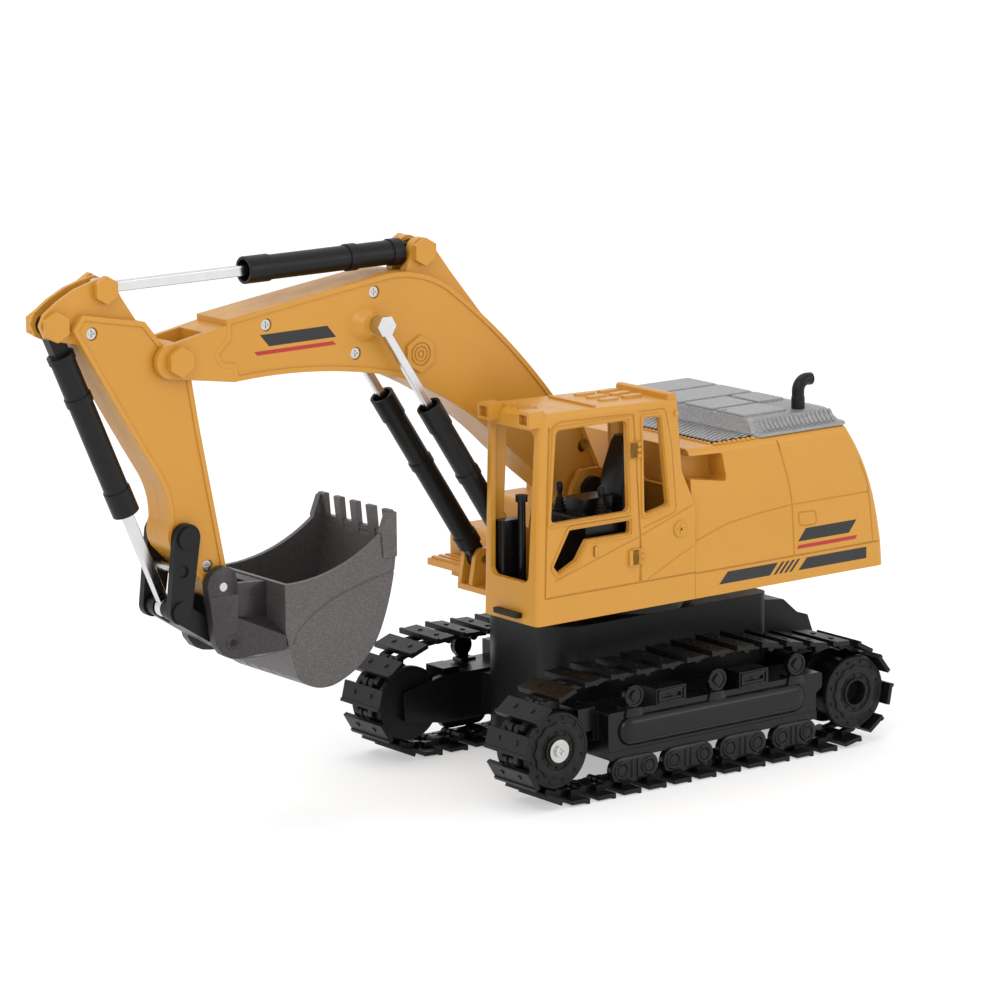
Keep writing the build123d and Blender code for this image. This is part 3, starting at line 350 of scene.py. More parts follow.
def make_hood():
    """The grey hood: a skirt, a tapered lid, five raised panels, louvred sides and two screws."""
    (x0, y0, z0), (x1, y1, z1) = box_mm("hood_cover")
    bm = bmesh.new()
    skirt = 1.3
    lid_top = z1 - 0.9
    add_loft(bm, [
        rounded_rectangle(x0, x1, y0, y1, z0, 3.0),
        rounded_rectangle(x0 + 0.1, x1 - 0.1, y0 + 0.1, y1 - 0.1, z0 + skirt - 0.3, 3.0),
        rounded_rectangle(x0 + 0.5, x1 - 0.2, y0 + 0.5, y1 - 0.5, z0 + skirt, 3.0),
        rounded_rectangle(x0 + 1.4, x1 - 0.3, y0 + 1.6, y1 - 1.6, z0 + skirt + 0.1, 3.6),
        rounded_rectangle(x0 + 4.6, x1 - 0.9, y0 + 4.6, y1 - 4.6, lid_top - 0.9, 3.6),
        rounded_rectangle(x0 + 5.0, x1 - 1.1, y0 + 5.0, y1 - 5.0, lid_top - 0.35, 3.6),
        rounded_rectangle(x0 + 5.8, x1 - 1.7, y0 + 5.8, y1 - 5.8, lid_top, 3.6),
    ])
    for low_x, high_x, low_y, high_y in HOOD_PANELS:
        add_loft(bm, [
            rounded_rectangle(low_x, high_x, low_y, high_y, lid_top - 0.2, 1.0),
            rounded_rectangle(low_x, high_x, low_y, high_y, z1 - 0.3, 1.0),
            rounded_rectangle(low_x + 0.3, high_x - 0.3, low_y + 0.3, high_y - 0.3, z1, 0.8),
        ])
    for side in (-1, 1):
        for i in range(LOUVRES):
            x = x1 - 5.6 - LOUVRE_PITCH * i
            foot = place(x, side * (y1 - 1.9), z0 + skirt + 0.3)
            head = place(x, side * (y1 - 5.1), lid_top - 0.5)
            path = [foot.lerp(head, t) for t in (0, 0.04, 0.12, 0.88, 0.96, 1)]
            add_tube(bm, path, [r * MM for r in (0.3, 0.7, 0.95, 0.95, 0.7, 0.3)], 10)
    for x, y in ((-31.5, -6), (-31.5, 24)):
        add_lathe(bm, place(x, y, z1 - 0.1), (0, 0, 1),
                  ((0, 1.1), (0.25, 1.1), (0.4, 0.9), (0.42, 0.3)), 20)
    add_piece("hood", bm, HOOD, "house", ["hood_cover"])


def make_mesh_grille():
    """The perforated panel ahead of the hood: a dark bed and a silver plate of six-sided holes."""
    low, high = box_mm("mesh_grille")
    bed = bmesh.new()
    add_loft(bed, [
        rounded_rectangle(low.x, high.x, low.y, high.y, low.z, 1.5),
        rounded_rectangle(low.x, high.x, low.y, high.y, high.z - 0.7, 1.5),
    ])
    add_piece("mesh_bed", bed, BLACK, "house", ["mesh_grille"])

    bm = bmesh.new()
    pitch = 2.3
    hole = 0.7 * pitch / sqrt(3)
    cell = pitch / sqrt(3)
    thickness = 0.4
    foot = Vector((high.x - 0.1, 0, high.z - 0.65))
    head = Vector((low.x + 0.2, 0, high.z - 0.55))
    up = (head - foot).normalized()
    out = Vector((0, 0, 1))
    rows = int((head - foot).length / (cell * 1.5))
    columns = int(2 * (high.y - 0.6) / pitch)
    for row in range(rows):
        for column in range(columns):
            centre = foot + up * (cell + 1.5 * cell * row)
            centre.y = (column - columns / 2 + 0.5 + 0.5 * (row % 2)) * pitch
            rims = []
            for radius, rise in ((cell, 0.0), (cell, thickness), (hole, thickness), (hole, 0.0)):
                rim = []
                for i in range(6):
                    turn = radians(60 * i + 90)
                    point = centre + up * (radius * sin(turn)) + out * rise
                    point.y += radius * cos(turn)
                    rim.append(bm.verts.new(point * MM))
                rims.append(rim)
            for first, second in zip(rims, rims[1:]):
                for i in range(6):
                    k = (i + 1) % 6
                    bm.faces.new((first[i], first[k], second[k], second[i]))
    bmesh.ops.remove_doubles(bm, verts=bm.verts, dist=1e-6)
    add_piece("mesh_plate", bm, MESH_METAL, "house", angle=25)


def make_exhaust():
    """The black exhaust: a sleeve, an upright and a full bend rearward, open at its end."""
    low, high = box_mm("exhaust_pipe")
    x = high.x - 2.5
    y = (low.y + high.y) / 2
    bend = 4.2
    top = high.z - 2.5
    path = [place(x, y, low.z + 0.1 + i * (top - bend - low.z) / 4) for i in range(5)]
    for i in range(1, 15):
        turn = radians(96 * i / 14)
        path.append(place(x - bend * (1 - cos(turn)), y, top - bend + bend * sin(turn)))
    last = (path[-1] - path[-2]).normalized()
    path.append(path[-1] + last * (1.6 * MM))
    bm = bmesh.new()
    mouth = path[-1]
    add_tube(bm, path + [mouth, mouth - last * 2 * MM, mouth - last * 2.1 * MM],
             [2.4 * MM] * len(path) + [1.8 * MM, 1.7 * MM, 0.1 * MM], 28)
    add_lathe(bm, place(x, y, low.z - 0.3), (0, 0, 1), ((0, 2.6), (4.6, 2.6), (4.8, 2.4)), 28)
    add_piece("exhaust", bm, BLACK, "house", ["exhaust_pipe"])


def make_border_studs():
    """Rows of small yellow studs along the mesh's front border and down both its sides."""
    low, high = box_mm("mesh_grille")
    bm = bmesh.new()
    spots = [(high.x + 1.2, high.y - 1.0 - STUD_PITCH * i) for i in range(38)]
    spots += [(high.x - STUD_PITCH * i, side * (high.y + 1.3)) for i in range(9) for side in (-1, 1)]
    for x, y in spots:
        add_lathe(bm, place(x, y, HOUSE_TOP - 0.2), (0, 0, 1),
                  ((0, 1.0), (0.5, 0.95), (0.85, 0.7), (1.0, 0.25)), 12)
    add_piece("border_studs", bm, YELLOW, "house")


# Cab -------------------------------------------------------------------------
def make_seat():
    """The driver's seat: a back that narrows upwards, a cushion, two arm rests and a pedestal."""
    low, high = box_mm("cab_seat")
    mid = (low.y + high.y) / 2
    bm = bmesh.new()
    tall = high.z - low.z
    back = ((0.40, 21.8, 34.6, 9.0, 2.5), (0.60, 22.0, 32.9, 8.8, 2.5), (0.78, 22.4, 31.4, 8.0, 2.5),
            (0.88, 22.8, 30.4, 6.4, 2.4), (0.96, 23.2, 29.6, 5.0, 2.2), (0.995, 24.0, 28.8, 4.0, 1.8))
    add_loft(bm, [rounded_rectangle(x0, x1, mid - half, mid + half, low.z + tall * t, radius)
                  for t, x0, x1, half, radius in back])
    cushion = ((82.2, 0.9), (83.2, 0.0), (89.6, 0.0), (91.2, 0.7), (91.9, 2.4))
    add_loft(bm, [rounded_rectangle(low.x + 0.1 + inset, high.x - inset, low.y + inset,
                                    high.y - inset, z, 3.0)
                  for z, inset in cushion])
    for side in (-1, 1):
        y = mid + side * 8.2
        rest = ((90.5, 0.3), (91.2, 0.0), (96.2, 0.0), (97.0, 0.5))
        add_loft(bm, [rounded_rectangle(22 + inset, 35 - inset, y - 1.6 + inset,
                                        y + 1.6 - inset, z, 1.0)
                      for z, inset in rest])
    add_loft(bm, [rounded_rectangle(low.x + 2, low.x + 13, mid - 5, mid + 5, low.z + 0.1, 2.0),
                  rounded_rectangle(low.x + 3, low.x + 12, mid - 4, mid + 4, 83, 2.0)])
    add_piece("driver_seat", bm, GLOSS_BLACK, "house", ["cab_seat"])


def make_levers():
    """Two control levers, each with a ribbed boot that narrows upwards and a round grip."""
    low, high = box_mm("control_levers")
    profile = [(0.0, 2.5)]
    for i in range(4):
        profile += [(0.2 + 1.2 * i, 2.5 - 0.3 * i), (0.7 + 1.2 * i, 2.5 - 0.3 * i),
                    (1.0 + 1.2 * i, 1.9 - 0.24 * i)]
    stick = high.z - low.z
    profile += [(5.3, 0.95), (stick - 3.6, 0.95), (stick - 3.2, 1.25), (stick - 0.8, 1.25),
                (stick - 0.2, 0.9), (stick, 0.3)]
    bm = bmesh.new()
    for x, y in ((high.x - 2.5, low.y + 2.5), (low.x + 2.5, high.y - 2.5)):
        add_lathe(bm, place(x, y, low.z), (0, 0, 1), profile, 24)
    add_piece("levers", bm, BLACK, "house", ["control_levers"])


# Undercarriage ---------------------------------------------------------------
def add_turned(bm, centre, profile, side=1, around=72, waves=0, depth=0.0):
    """A ring turned about an axle across the machine, from points of y, radius and wavy or not."""
    rings = []
    for y, radius, wavy in profile:
        ring = []
        for turn in turns(around):
            r = radius + (depth * cos(waves * turn) if wavy else 0.0)
            spot = place(centre[0] + r * cos(turn), side * y, centre[1] + r * sin(turn))
            ring.append(bm.verts.new(spot))
        rings.append(ring)
    for first, second in zip(rings, rings[1:] + rings[:1]):
        for i in range(around):
            k = (i + 1) % around
            bm.faces.new((first[i], first[k], second[k], second[i]))


def add_ring(bm, centre, inner, outer, y0, y1, side, soft=0.2, around=40):
    """A flat ring with soft outer edges."""
    profile = [(y0, inner, 0), (y0, outer, 0), (y1 - soft, outer, 0), (y1, outer - soft, 0),
               (y1, inner + soft, 0), (y1 - soft, inner, 0)]
    add_turned(bm, centre, profile, side, around)


def add_peg(bm, x, z, radius, y0, y1, side, around=16):
    """A small round peg with a soft end."""
    soft = 0.35 * radius
    profile = ((0, radius), (y1 - y0 - soft, radius), (y1 - y0 - 0.3 * soft, 0.85 * radius),
               (y1 - y0, 0.45 * radius))
    add_lathe(bm, place(x, side * y0, z), (0, side, 0), profile, around)


def make_wheel(node, body, name):
    """A flanged wheel: flanges, a drum, a scalloped plate, a hub ring and two rings of pegs."""
    low, high = box_mm(node)
    side = 1 if low.y > 0 else -1
    centre = ((low.x + high.x) / 2, (low.z + high.z) / 2)
    rim = (high.x - low.x) / 2
    inside = min(abs(low.y), abs(high.y))
    face = max(abs(low.y), abs(high.y)) - 0.9
    bore = 4.7 if node.startswith("drive") else 2.2
    drum = rim - 2.9
    axle = 3.05
    bm = bmesh.new()
    profile = [
        (inside, axle), (inside, rim - 0.5), (inside + 0.5, rim), (inside + 2.5, rim),
        (inside + 3, rim - 0.5), (inside + 3, drum), (face - 3, drum), (face - 3, rim - 0.5),
        (face - 2.5, rim), (face - 0.5, rim), (face, rim - 0.5), (face, rim - 1.2),
        (face - 0.4, rim - 1.5), (face - 0.4, bore), (face - 4.4, bore), (face - 4.4, axle),
    ]
    add_turned(bm, centre, [(y, r, 0) for y, r in profile], side)
    plate = [(face - 0.5, 7.6, 0), (face - 0.5, 10.3, 1), (face + 0.15, 10.3, 1),
             (face + 0.3, 10.0, 1), (face + 0.3, 8.0, 0), (face + 0.1, 7.6, 0)]
    add_turned(bm, centre, plate, side, 144, 12, 0.4)
    add_ring(bm, centre, bore, 5.6, face - 0.5, face + 0.7, side)
    for count, reach, radius in ((12, 12.0, 0.55), (10, 6.6, 0.42)):
        for turn in turns(count, 0.5):
            add_peg(bm, centre[0] + reach * cos(turn), centre[1] + reach * sin(turn), radius,
                    face - 0.5, face + 0.25, side)
    add_piece(name, bm, BLACK, body, [node])


def add_slab(bm, outline, y0, y1, side, soft=0.35):
    """A flat shape in x and z with thickness across the machine and a soft outer edge."""
    count = len(outline)
    middle = Vector((sum(p[0] for p in outline) / count, sum(p[1] for p in outline) / count))
    sections = []
    for y, inset in ((y0, 0.0), (y1 - soft, 0.0), (y1 - 0.3 * soft, 0.3 * soft), (y1, soft)):
        section = []
        for x, z in outline:
            inward = middle - Vector((x, z))
            point = Vector((x, z)) + inward.normalized() * inset
            section.append(place(point.x, side * y, point.y))
        sections.append(section)
    add_loft(bm, sections)


def capsule(rear, front, z, radius, steps=12):
    """The outline of a bar with round ends, level in x."""
    points = []
    for x, start in ((front, -90), (rear, 90)):
        for i in range(steps + 1):
            turn = radians(start + 180 * i / steps)
            points.append((x + radius * cos(turn), z + radius * sin(turn)))
    return points


def rectangle(x0, x1, z0, z1):
    """The outline of an upright rectangle."""
    return [(x0, z0), (x1, z0), (x1, z1), (x0, z1)]


ROLLER_COVERS = ((30.6, 43.4), (4.0, 18.6), (-22.1, -8.7), (-47.1, -34.6))
ROLLER_Z = 9.0
CARRIERS = (36.8, -3.2, -42.3)
CARRIER_Z = 36.2
FRAME_PANELS = (11.8, -28.5)
PANEL_FACE = 53.0


def make_frame_details(side, name):
    """What is moulded on a track frame: the long bulge, roller covers, tabs and carrier ends."""
    bm = bmesh.new()
    rear, front = -41.2, 38.1
    swell = ((0.0, 5.7), (0.6, 5.6), (1.2, 5.2), (1.8, 4.5), (2.3, 3.5), (2.65, 2.3), (2.78, 1.1),
             (2.8, 0.3))
    add_loft(bm, [[place(x, side * (PANEL_FACE + rise), z)
                   for x, z in capsule(rear, front, 23.1, radius)] for rise, radius in swell])
    for low, high in ROLLER_COVERS:
        add_slab(bm, capsule(low, high, ROLLER_Z, 4.75), 53.6, 54.4, side)
        for x in (low, high):
            add_ring(bm, (x, ROLLER_Z), 2.3, 3.5, 54.2, 55.1, side, 0.3)
            add_peg(bm, x, ROLLER_Z, 1.2, 54.2, 54.9, side)
        middle = (low + high) / 2
        for x in (middle - 1.3, middle + 1.3):
            add_slab(bm, rectangle(x - 0.5, x + 0.5, 5.6, 12.4), 54.2, 54.9, side, 0.2)
    for x in CARRIERS:
        add_ring(bm, (x, CARRIER_Z), 3.2, 4.3, 53.3, 54.1, side, 0.25)
        for turn in turns(6):
            add_peg(bm, x + 4.1 * cos(turn), CARRIER_Z + 4.1 * sin(turn), 0.5, 53.0, 53.8, side, 10)
        add_slab(bm, rectangle(x - 2.2, x + 2.2, 35.8, 36.6), 53.5, 54.2, side, 0.15)
        add_slab(bm, rectangle(x - 0.4, x + 0.4, 34.0, 38.4), 53.5, 54.2, side, 0.15)
        tab = [(x - 4.2, 28.4), (x + 4.2, 28.4), (x + 3.4, 31.8), (x - 3.4, 31.8)]
        add_slab(bm, tab, 48.0, 53.9, side, 0.5)
    for x in FRAME_PANELS:
        for z in (31.4, 35.8):
            add_slab(bm, rectangle(x + 0.8, x + 13.4, z, z + 0.6), 53.2, 53.9, side, 0.2)
        for k in (0.8, 12.8):
            add_slab(bm, rectangle(x + k, x + k + 0.6, 31.4, 36.4), 53.2, 53.9, side, 0.2)
        slash = [(x + 5.6, 33.2), (x + 8.6, 34.4), (x + 8.6, 35.0), (x + 5.6, 33.8)]
        add_slab(bm, slash, 53.2, 53.8, side, 0.15)
    add_piece(name, bm, GLOSS_BLACK, "undercarriage")


# Bucket ----------------------------------------------------------------------
def node_mesh(node):
    """A copy of a CAD node's mesh as a bmesh, with its corners joined."""
    bm = bmesh.new()
    bm.from_mesh(NODES[node].data)
    bmesh.ops.remove_doubles(bm, verts=bm.verts, dist=2e-6)
    return bm


def cut_with(piece, cutter):
    """Takes a closed mesh away from a piece, then drops the cutter."""
    bmesh.ops.recalc_face_normals(cutter, faces=cutter.faces)
    tool = mesh_object("cutter", cutter)
    cut = piece.modifiers.new("cut", "BOOLEAN")
    cut.operation = "DIFFERENCE"
    cut.solver = "EXACT"
    cut.object = tool
    graph = bpy.context.evaluated_depsgraph_get()
    done = bpy.data.meshes.new_from_object(piece.evaluated_get(graph))
    piece.modifiers.clear()
    old = piece.data
    piece.data = done
    bpy.data.meshes.remove(old)
    bpy.data.objects.remove(tool)
    settle(done, SHARP)


def add_wire(bm, path, radius):
    """A thin round bar of one radius, in millimetres, along a path."""
    add_tube(bm, path, [radius * MM] * len(path), 8)


def cut_seam(piece, path, radius):
    """A groove in a piece along a path on its surface. Each takes its own cut."""
    cutter = bmesh.new()
    add_wire(cutter, path, radius)
    cut_with(piece, cutter)


BUCKET_HALF = 22.1
BUCKET_LINE = ((121.8, 90.2), (133.0, 88.3), (145.2, 85.2), (152.0, 82.6), (157.5, 79.7),
               (161.4, 77.0), (164.1, 74.4), (165.8, 72.0), (166.8, 69.4))
BUCKET_GROOVE = ((164.9, 56.4), (162.5, 54.5), (160.0, 53.2), (157.0, 52.3))


def make_bucket():
    """The bucket, with a curved line on each side and four short grooves in its back."""
    piece = add_piece("bucket_shell", node_mesh("bucket"), BUCKET, "bucket",
                      ["bucket"])
    cutter = bmesh.new()
    for side in (-1, 1):
        add_wire(cutter, [place(x, side * BUCKET_HALF, z) for x, z in BUCKET_LINE], 0.42)
    for i in range(4):
        y = -11.5 + 7.6 * i
        add_wire(cutter, [place(x, y, z) for x, z in BUCKET_GROOVE], 0.45)
    cut_with(piece, cutter)


def add_hull(bm, points):
    """The convex solid round some points."""
    verts = [bm.verts.new(place(*p)) for p in points]
    result = bmesh.ops.convex_hull(bm, input=verts)
    inside = result["geom_interior"] + result["geom_unused"]
    spare = {v for v in inside if isinstance(v, bmesh.types.BMVert)}
    bmesh.ops.delete(bm, geom=list(spare), context="VERTS")


EAR = ((186.6, 98.7), (189.4, 98.9), (192.0, 98.0), (194.3, 96.2), (195.6, 93.4), (195.0, 87.0),
       (194.0, 80.5), (193.5, 74.5), (192.3, 70.3), (189.8, 67.0), (186.4, 65.2), (182.7, 64.6),
       (176.0, 64.3), (170.7, 64.1), (172.2, 73.3), (178.0, 76.8), (183.2, 79.8), (182.9, 86.0),
       (182.8, 93.0), (184.0, 96.9))
EAR_LOW = 88.0  # the ear's thicker lower plate ends just above this
MOUNT_PIN = (185.5, 70.9)


def make_bucket_bracket():
    """The bracket on the bucket's back: two ears, a web between them and a flared foot each."""
    bm = bmesh.new()
    for side in (-1, 1):
        add_slab(bm, EAR, 7.4, 10.9, side, 0.4)
        lower = [(195.2, 88.4)] + [p for p in EAR if p[1] < EAR_LOW] + [(182.8, 88.4)]
        add_slab(bm, lower, 10.4, 11.3, side, 0.3)
        gusset = [(170.2, 77.5), (184.0, 77.5), (184.0, 92.0), (170.2, 91.2)]
        add_slab(bm, gusset, 7.4, 10.0, side, 0.2)
        add_hull(bm, [(x, side * y, z) for x, y, z in (
            (182.6, 10.9, 79.4), (172.2, 11.2, 73.3), (170.7, 11.2, 64.2), (182.0, 10.9, 64.8),
            (170.1, 22.3, 73.2), (170.1, 22.3, 68.5), (170.1, 9.0, 78.6), (170.1, 9.0, 64.2))])
        add_ring(bm, MOUNT_PIN, 1.9, 3.0, 11.1, 11.9, side, 0.25)
    web = [(170.2, 66.0), (175.5, 66.0), (175.5, 91.0), (170.2, 91.2)]
    add_slab(bm, web, -7.6, 7.6, 1, 0.2)
    add_piece("bucket_mount", bm, BRACKET, "bucket", ["bucket_bracket"])

    # Black discs at the bottom of the ear bores: painted shade standing in for the dark inside the pin
    # holes.
    bore_shade = bmesh.new()
    for side in (-1, 1):
        add_peg(bore_shade, *MOUNT_PIN, 2.0, 11.0, 11.4, side)
    add_piece("mount_bore_painted_shade", bore_shade, BLACK, "bucket")


# Cab walls -------------------------------------------------------------------
def softened(points, radius, closed=True, steps=5):
    """A path in two directions with its corners rounded."""
    found = []
    count = len(points)
    for i, point in enumerate(points):
        here = Vector(point)
        if not closed and i in (0, count - 1):
            found.append(here)
            continue
        before = Vector(points[i - 1]) - here
        after = Vector(points[(i + 1) % count]) - here
        reach = min(radius, 0.45 * before.length, 0.45 * after.length)
        start = here + before.normalized() * reach
        end = here + after.normalized() * reach
        for k in range(steps + 1):
            t = k / steps
            found.append(start * (1 - t) ** 2 + here * (2 * t * (1 - t)) + end * t ** 2)
    return found


def add_rib(bm, points, width, y0, y1, closed=True, radius=1.5):
    """A raised rib that follows a path on a side wall, drawn in x and z, with leaning sides."""
    path = softened(points, radius, closed)
    count = len(path)
    rings = []
    for i, point in enumerate(path):
        back = path[i - 1] if closed or i else path[0]
        ahead = path[(i + 1) % count] if closed or i < count - 1 else path[-1]
        run = (ahead - back).normalized()
        across = Vector((-run.y, run.x))
        ring = []
        for shift, y in ((-0.5, y0), (-0.3, y1), (0.3, y1), (0.5, y0)):
            spot = point + across * (shift * width)
            ring.append(bm.verts.new(place(spot.x, y, spot.y)))
        rings.append(ring)
    last = rings[1:] + rings[:1] if closed else rings[1:]
    for first, second in zip(rings, last):
        for i in range(4):
            k = (i + 1) % 4
            bm.faces.new((first[i], first[k], second[k], second[i]))
    if not closed:
        bm.faces.new(rings[0][::-1])
        bm.faces.new(rings[-1])


CAB_FACE = 52.0
CAB_DIAL = (13.4, 95.8)
DOOR_SEAM = ((76.9, 78.4), (76.2, 104.0), (75.6, 120.4), (74.3, 140.0), (70.6, 142.6),
             (35.5, 141.6), (34.1, 124.6), (32.6, 95.3), (31.8, 78.4))
REAR_SEAM = ((33.0, 142.0), (20.4, 142.0), (17.4, 127.4), (15.2, 102.6), (31.0, 98.6))
WAIST_SEAM = ((72.2, 84.2), (55.5, 89.0), (33.1, 95.4), (6.3, 104.5))
LOW_SEAM = ((28.6, 79.0), (17.0, 84.4), (7.0, 88.6))
CAB_SEAMS = ((DOOR_SEAM, 0.34), (REAR_SEAM, 0.26), (WAIST_SEAM, 0.28), (LOW_SEAM, 0.2))


def make_cab():
    """The cab's walls, cut by the seams of the door and of the panels behind it, and their trim."""
    piece = add_piece("cab_walls", node_mesh("cab_shell"), YELLOW, "house",
                      ["cab_shell"])
    for seam, radius in CAB_SEAMS:
        cut_seam(piece, [place(p.x, CAB_FACE, p.y) for p in softened(seam, 2.2, False)], radius)

    bm = bmesh.new()
    top = CAB_FACE + 0.5
    low = CAB_FACE - 0.15
    add_rib(bm, [(72.6, 140.6), (37.6, 140.6), (36.7, 104.6), (75.2, 104.6)], 1.1, low, top)
    add_rib(bm, [(66.0, 103.3), (36.3, 103.3), (36.3, 96.5), (57.0, 96.5), (61.4, 89.6),
                 (71.2, 85.4), (74.0, 89.2)], 1.0, low, top)
    add_rib(bm, [(31.9, 140.4), (22.3, 140.0), (18.2, 104.8), (31.4, 102.3)], 1.1, low, top)
    foot = CAB_FACE - 0.2
    for x, z in ((35.7, 128.2), (34.5, 88.2)):
        hinge = rectangle(x - 2.6, x + 2.2, z - 3.1, z + 3.1)
        add_slab(bm, hinge, foot, CAB_FACE + 0.9, 1, 0.3)
        for rise in (-2.2, 0.0, 2.2):
            add_lathe(bm, place(x - 2.2, CAB_FACE + 0.8, z + rise - 0.8), (0, 0, 1),
                      ((0, 0.5), (0.2, 0.8), (1.4, 0.8), (1.6, 0.5)), 12)
    add_slab(bm, rectangle(52.9, 54.3, 91.0, 94.6), foot, CAB_FACE + 0.8, 1, 0.3)
    add_ring(bm, CAB_DIAL, 2.5, 3.2, foot, CAB_FACE + 0.6, 1, 0.25)
    x, z = CAB_DIAL
    for run, rise in ((2.0, 0.42), (0.42, 2.0)):
        add_slab(bm, rectangle(x - run, x + run, z - rise, z + rise), foot, CAB_FACE + 0.75, 1, 0.2)
    add_piece("cab_trim", bm, YELLOW, "house")


HOUSE_SEAMS = (
    (((-37.0, 122.4), (-38.8, 116.4), (-41.5, 106.8), (-42.8, 97.9), (-42.6, 78.4)), 0.34),
    (((-77.6, 110.0), (-81.0, 101.7), (-81.8, 91.9), (-82.4, 78.4)), 0.3),
    (((5.4, 89.7), (-1.5, 91.8), (-11.0, 94.4), (-26.2, 96.2), (-42.1, 97.3), (-62.0, 97.4),
      (-81.0, 97.4)), 0.24),
    (((-45.7, 93.9), (-54.3, 93.6), (-54.4, 88.4), (-45.9, 88.7), (-45.7, 93.4)), 0.28),
)


def make_house():
    """The engine cover, cut on both sides by panel seams, a long crease and a small flap."""
    piece = add_piece("house_walls", node_mesh("house_shell"), YELLOW, "house",
                      ["house_shell"])
    tree = surface_tree("house_shell")
    for side in (-1, 1):
        for seam, radius in HOUSE_SEAMS:
            hits = [side_hit(tree, p.x, p.y, side) for p in softened(seam, 1.6, False)]
            cut_seam(piece, [hit for hit in hits if hit], radius)


def make_roof():
    """What stands on the cab's roof: a rear ridge, a pad over each slot, a rail and visor ribs."""
    bm = bmesh.new()
    add_hull(bm, [(x, y, z) for y in (20.6, 50.8) for x, z in (
        (14.2, 144.2), (18.6, 144.2), (18.2, 146.6), (17.2, 147.1), (15.2, 146.9), (14.4, 146.2))])
    for x0, x1 in ((21.4, 30.6), (32.4, 41.6)):
        for y in (24.0, 31.0, 38.0):
            outer = rounded_rectangle(x0, x1, y - 0.7, y + 2.9, 144.6, 1.6)
            upper = rounded_rectangle(x0 + 0.25, x1 - 0.25, y - 0.45, y + 2.65, 145.9, 1.4)
            add_loft(bm, [outer, upper])
    add_hull(bm, [(x, y, z) for y in (23.0, 49.4) for x, z in (
        (50.8, 144.8), (52.6, 144.8), (52.3, 146.4), (51.1, 146.4))])
    for y in (28.8, 32.4, 36.0, 39.6):
        add_hull(bm, [(x, y + dy, z) for x in (70.6, 76.4) for dy, z in (
            (-0.5, 145.4), (0.5, 145.4), (0.3, 146.9), (-0.3, 146.9))])
    add_piece("roof_trim", bm, YELLOW, "house")


# Markings --------------------------------------------------------------------
INK = 0.06
INK_GRID = 1.6


def add_marking(bm, tree, corners, side):
    """A four-sided patch laid on a side wall, given its corners in x and z."""
    a, b, c, d = corners
    across = max(2, int(hypot(b[0] - a[0], b[1] - a[1]) / INK_GRID))
    down = max(1, int(hypot(d[0] - a[0], d[1] - a[1]) / INK_GRID))
    grid = []
    for i in range(across + 1):
        column = []
        for k in range(down + 1):
            u = i / across
            v = k / down
            x = (a[0] * (1 - u) + b[0] * u) * (1 - v) + (d[0] * (1 - u) + c[0] * u) * v
            z = (a[1] * (1 - u) + b[1] * u) * (1 - v) + (d[1] * (1 - u) + c[1] * u) * v
            hit = side_hit(tree, x, z, side)
            y = hit.y if hit else side * 0.05
            column.append(bm.verts.new((x * MM, y + side * INK * MM, z * MM)))
        grid.append(column)
    for i in range(across):
        for k in range(down):
            bm.faces.new((grid[i][k], grid[i + 1][k], grid[i + 1][k + 1], grid[i][k + 1]))


def make_markings():
    """Plain printed stripes, with no lettering, on both sides of the house and the boom."""
    house = surface_tree("house_shell", "house_base", "cab_shell")
    boom = surface_tree("boom_left", "boom_right")
    for side, word in ((1, "left"), (-1, "right")):
        black = bmesh.new()
        add_marking(black, house, [(-9.7, 76.4), (-34.4, 76.4), (-30.4, 72.0), (-5.4, 72.0)], side)
        for i in range(4):
            x = -36.4 - 2.6 * i
            add_marking(black, house, [(x, 76.4), (x - 1.3, 76.4), (x + 2.9, 72.0), (x + 4.2, 72.0)], side)
        add_marking(black, house, [(-48.9, 76.4), (-79.0, 76.4), (-79.0, 72.0), (-44.6, 72.0)], side)
        add_marking(black, house, [(-49.0, 87.6), (-74.6, 87.6), (-70.4, 83.0), (-44.8, 83.0)], side)
        add_piece("house_stripes_" + word, black, DECAL, "house")
        red = bmesh.new()
        add_marking(red, house, [(-45.0, 81.6), (-74.6, 81.6), (-73.4, 80.2), (-43.8, 80.2)], side)
        add_piece("house_red_stripe_" + word, red, DECAL_RED, "house")
        black = bmesh.new()
        add_marking(black, boom, [(170.0, 179.7), (141.0, 180.0), (137.2, 175.6), (166.2, 175.3)], side)
        add_piece("boom_stripe_" + word, black, DECAL, "boom")
        red = bmesh.new()
        add_marking(red, boom, [(172.6, 173.9), (138.6, 174.2), (137.2, 172.8), (171.4, 172.5)], side)
        add_piece("boom_red_stripe_" + word, red, DECAL_RED, "boom")


# Camera, light and floor -----------------------------------------------------
def make_stage():
    """A pale floor that runs on past the view."""
    bm = bmesh.new()
    bmesh.ops.create_grid(bm, x_segments=8, y_segments=8, size=12)
    floor = mesh_object("floor", bm)
    floor.location.z = -0.05 * MM
    s = Shading("floor")
    s.link(s.mix(s.noise(3), (0.60, 0.60, 0.60), (0.63, 0.63, 0.63)), s.shader.inputs["Base Color"])
    s.shader.inputs["Emission Color"].default_value = (1, 1, 1, 1)
    s.shader.inputs["Emission Strength"].default_value = 0.42
    s.shader.inputs["Roughness"].default_value = 0.9
    s.shader.inputs["Specular IOR Level"].default_value = 0.1
    floor.data.materials.append(s.material)


def make_light(name, place_at, aim, size, watts):
    """A square area light that faces a point."""
    lamp = bpy.data.lights.new(name, "AREA")
    lamp.size = size
    lamp.energy = watts
    made = bpy.data.objects.new(name, lamp)
    bpy.context.scene.collection.objects.link(made)
    made.location = place_at
    made.rotation_euler = (Vector(aim) - Vector(place_at)).to_track_quat("-Z", "Y").to_euler()


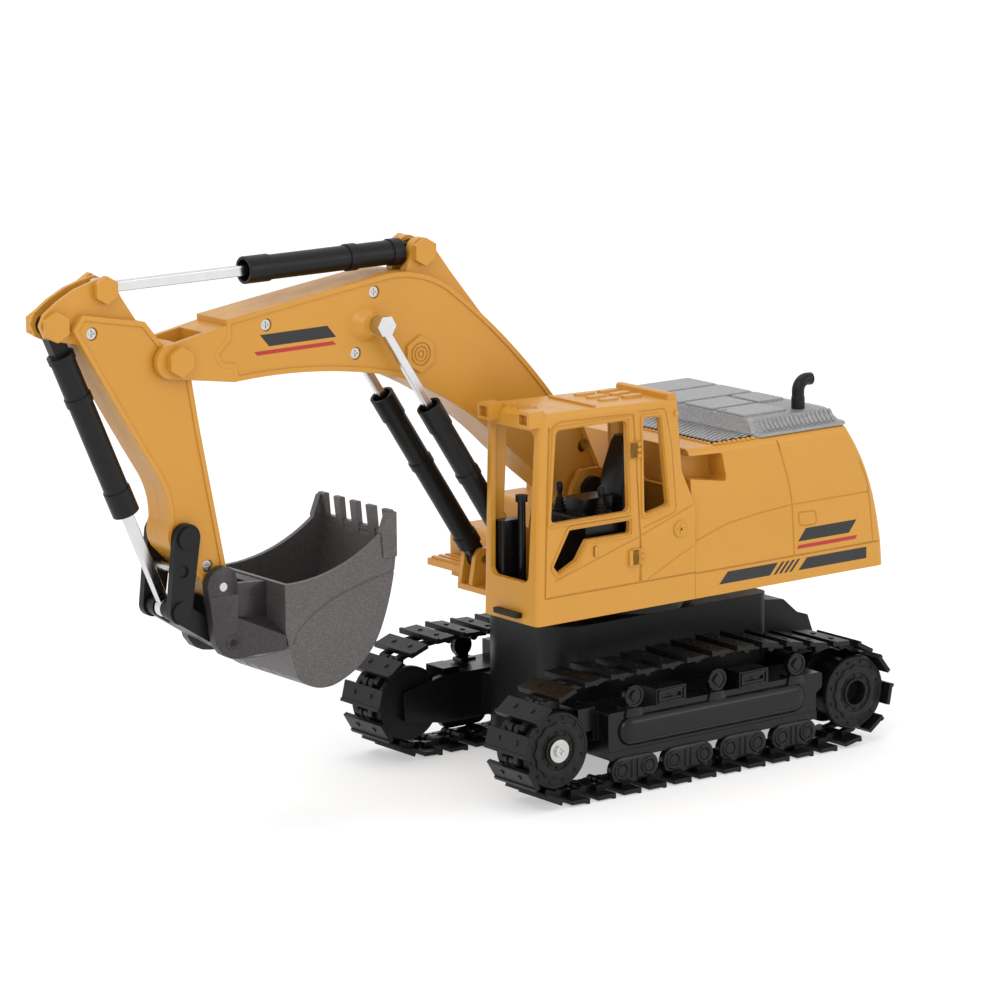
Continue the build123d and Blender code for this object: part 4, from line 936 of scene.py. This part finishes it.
def make_lights():
    """A large soft key from the front left, a fill, a top light and a white room."""
    middle = (0.06, 0, 0.08)
    make_light("key", (1.3, 0.9, 1.3), middle, 0.8, 7)
    make_light("side", (-0.9, 1.3, 0.6), middle, 0.7, 3)
    make_light("top", (0.0, -0.3, 1.6), middle, 1.0, 4)
    world = bpy.data.worlds.new("room")
    bpy.context.scene.world = world
    world.use_nodes = True
    background = world.node_tree.nodes["Background"]
    background.inputs["Color"].default_value = (1, 1, 1, 1)
    background.inputs["Strength"].default_value = 1.0


HEADING = radians(37.3)
PITCH = radians(11.5)
ROLL = radians(0.5)
DISTANCE = 1.731
SENSOR_WIDTH = 36
FOCAL_LENGTH = 162
AIM = Vector((0.0247, -0.0429, 0.0933))


def make_camera():
    """A long lens from ahead and to the left, looking slightly down."""
    ahead = Vector((-sin(HEADING) * cos(PITCH), -cos(HEADING) * cos(PITCH), -sin(PITCH)))
    right = Vector((-cos(HEADING), sin(HEADING), 0))
    down = ahead.cross(right)
    right, down = right * cos(ROLL) + down * sin(ROLL), down * cos(ROLL) - right * sin(ROLL)
    lens = bpy.data.cameras.new("camera")
    lens.sensor_width = SENSOR_WIDTH
    lens.lens = FOCAL_LENGTH
    lens.clip_start = 0.01
    made = bpy.data.objects.new("camera", lens)
    bpy.context.scene.collection.objects.link(made)
    turn = Matrix((right, -down, -ahead)).transposed().to_4x4()
    made.matrix_world = Matrix.Translation(AIM - ahead * DISTANCE) @ turn
    bpy.context.scene.camera = made
    bpy.context.scene.view_settings.view_transform = "Standard"


finish_cad_nodes()
make_hood()
make_mesh_grille()
make_exhaust()
make_border_studs()
make_seat()
make_levers()
for wheel_side in ("left", "right"):
    make_wheel("idler_wheel_" + wheel_side, "idler_" + wheel_side, "front_wheel_" + wheel_side)
    make_wheel("drive_wheel_" + wheel_side, "drive_" + wheel_side, "rear_wheel_" + wheel_side)
make_frame_details(1, "frame_details_left")
make_frame_details(-1, "frame_details_right")
make_bucket()
make_bucket_bracket()
make_cab()
make_house()
make_roof()
make_markings()
make_stage()
make_lights()
make_camera()
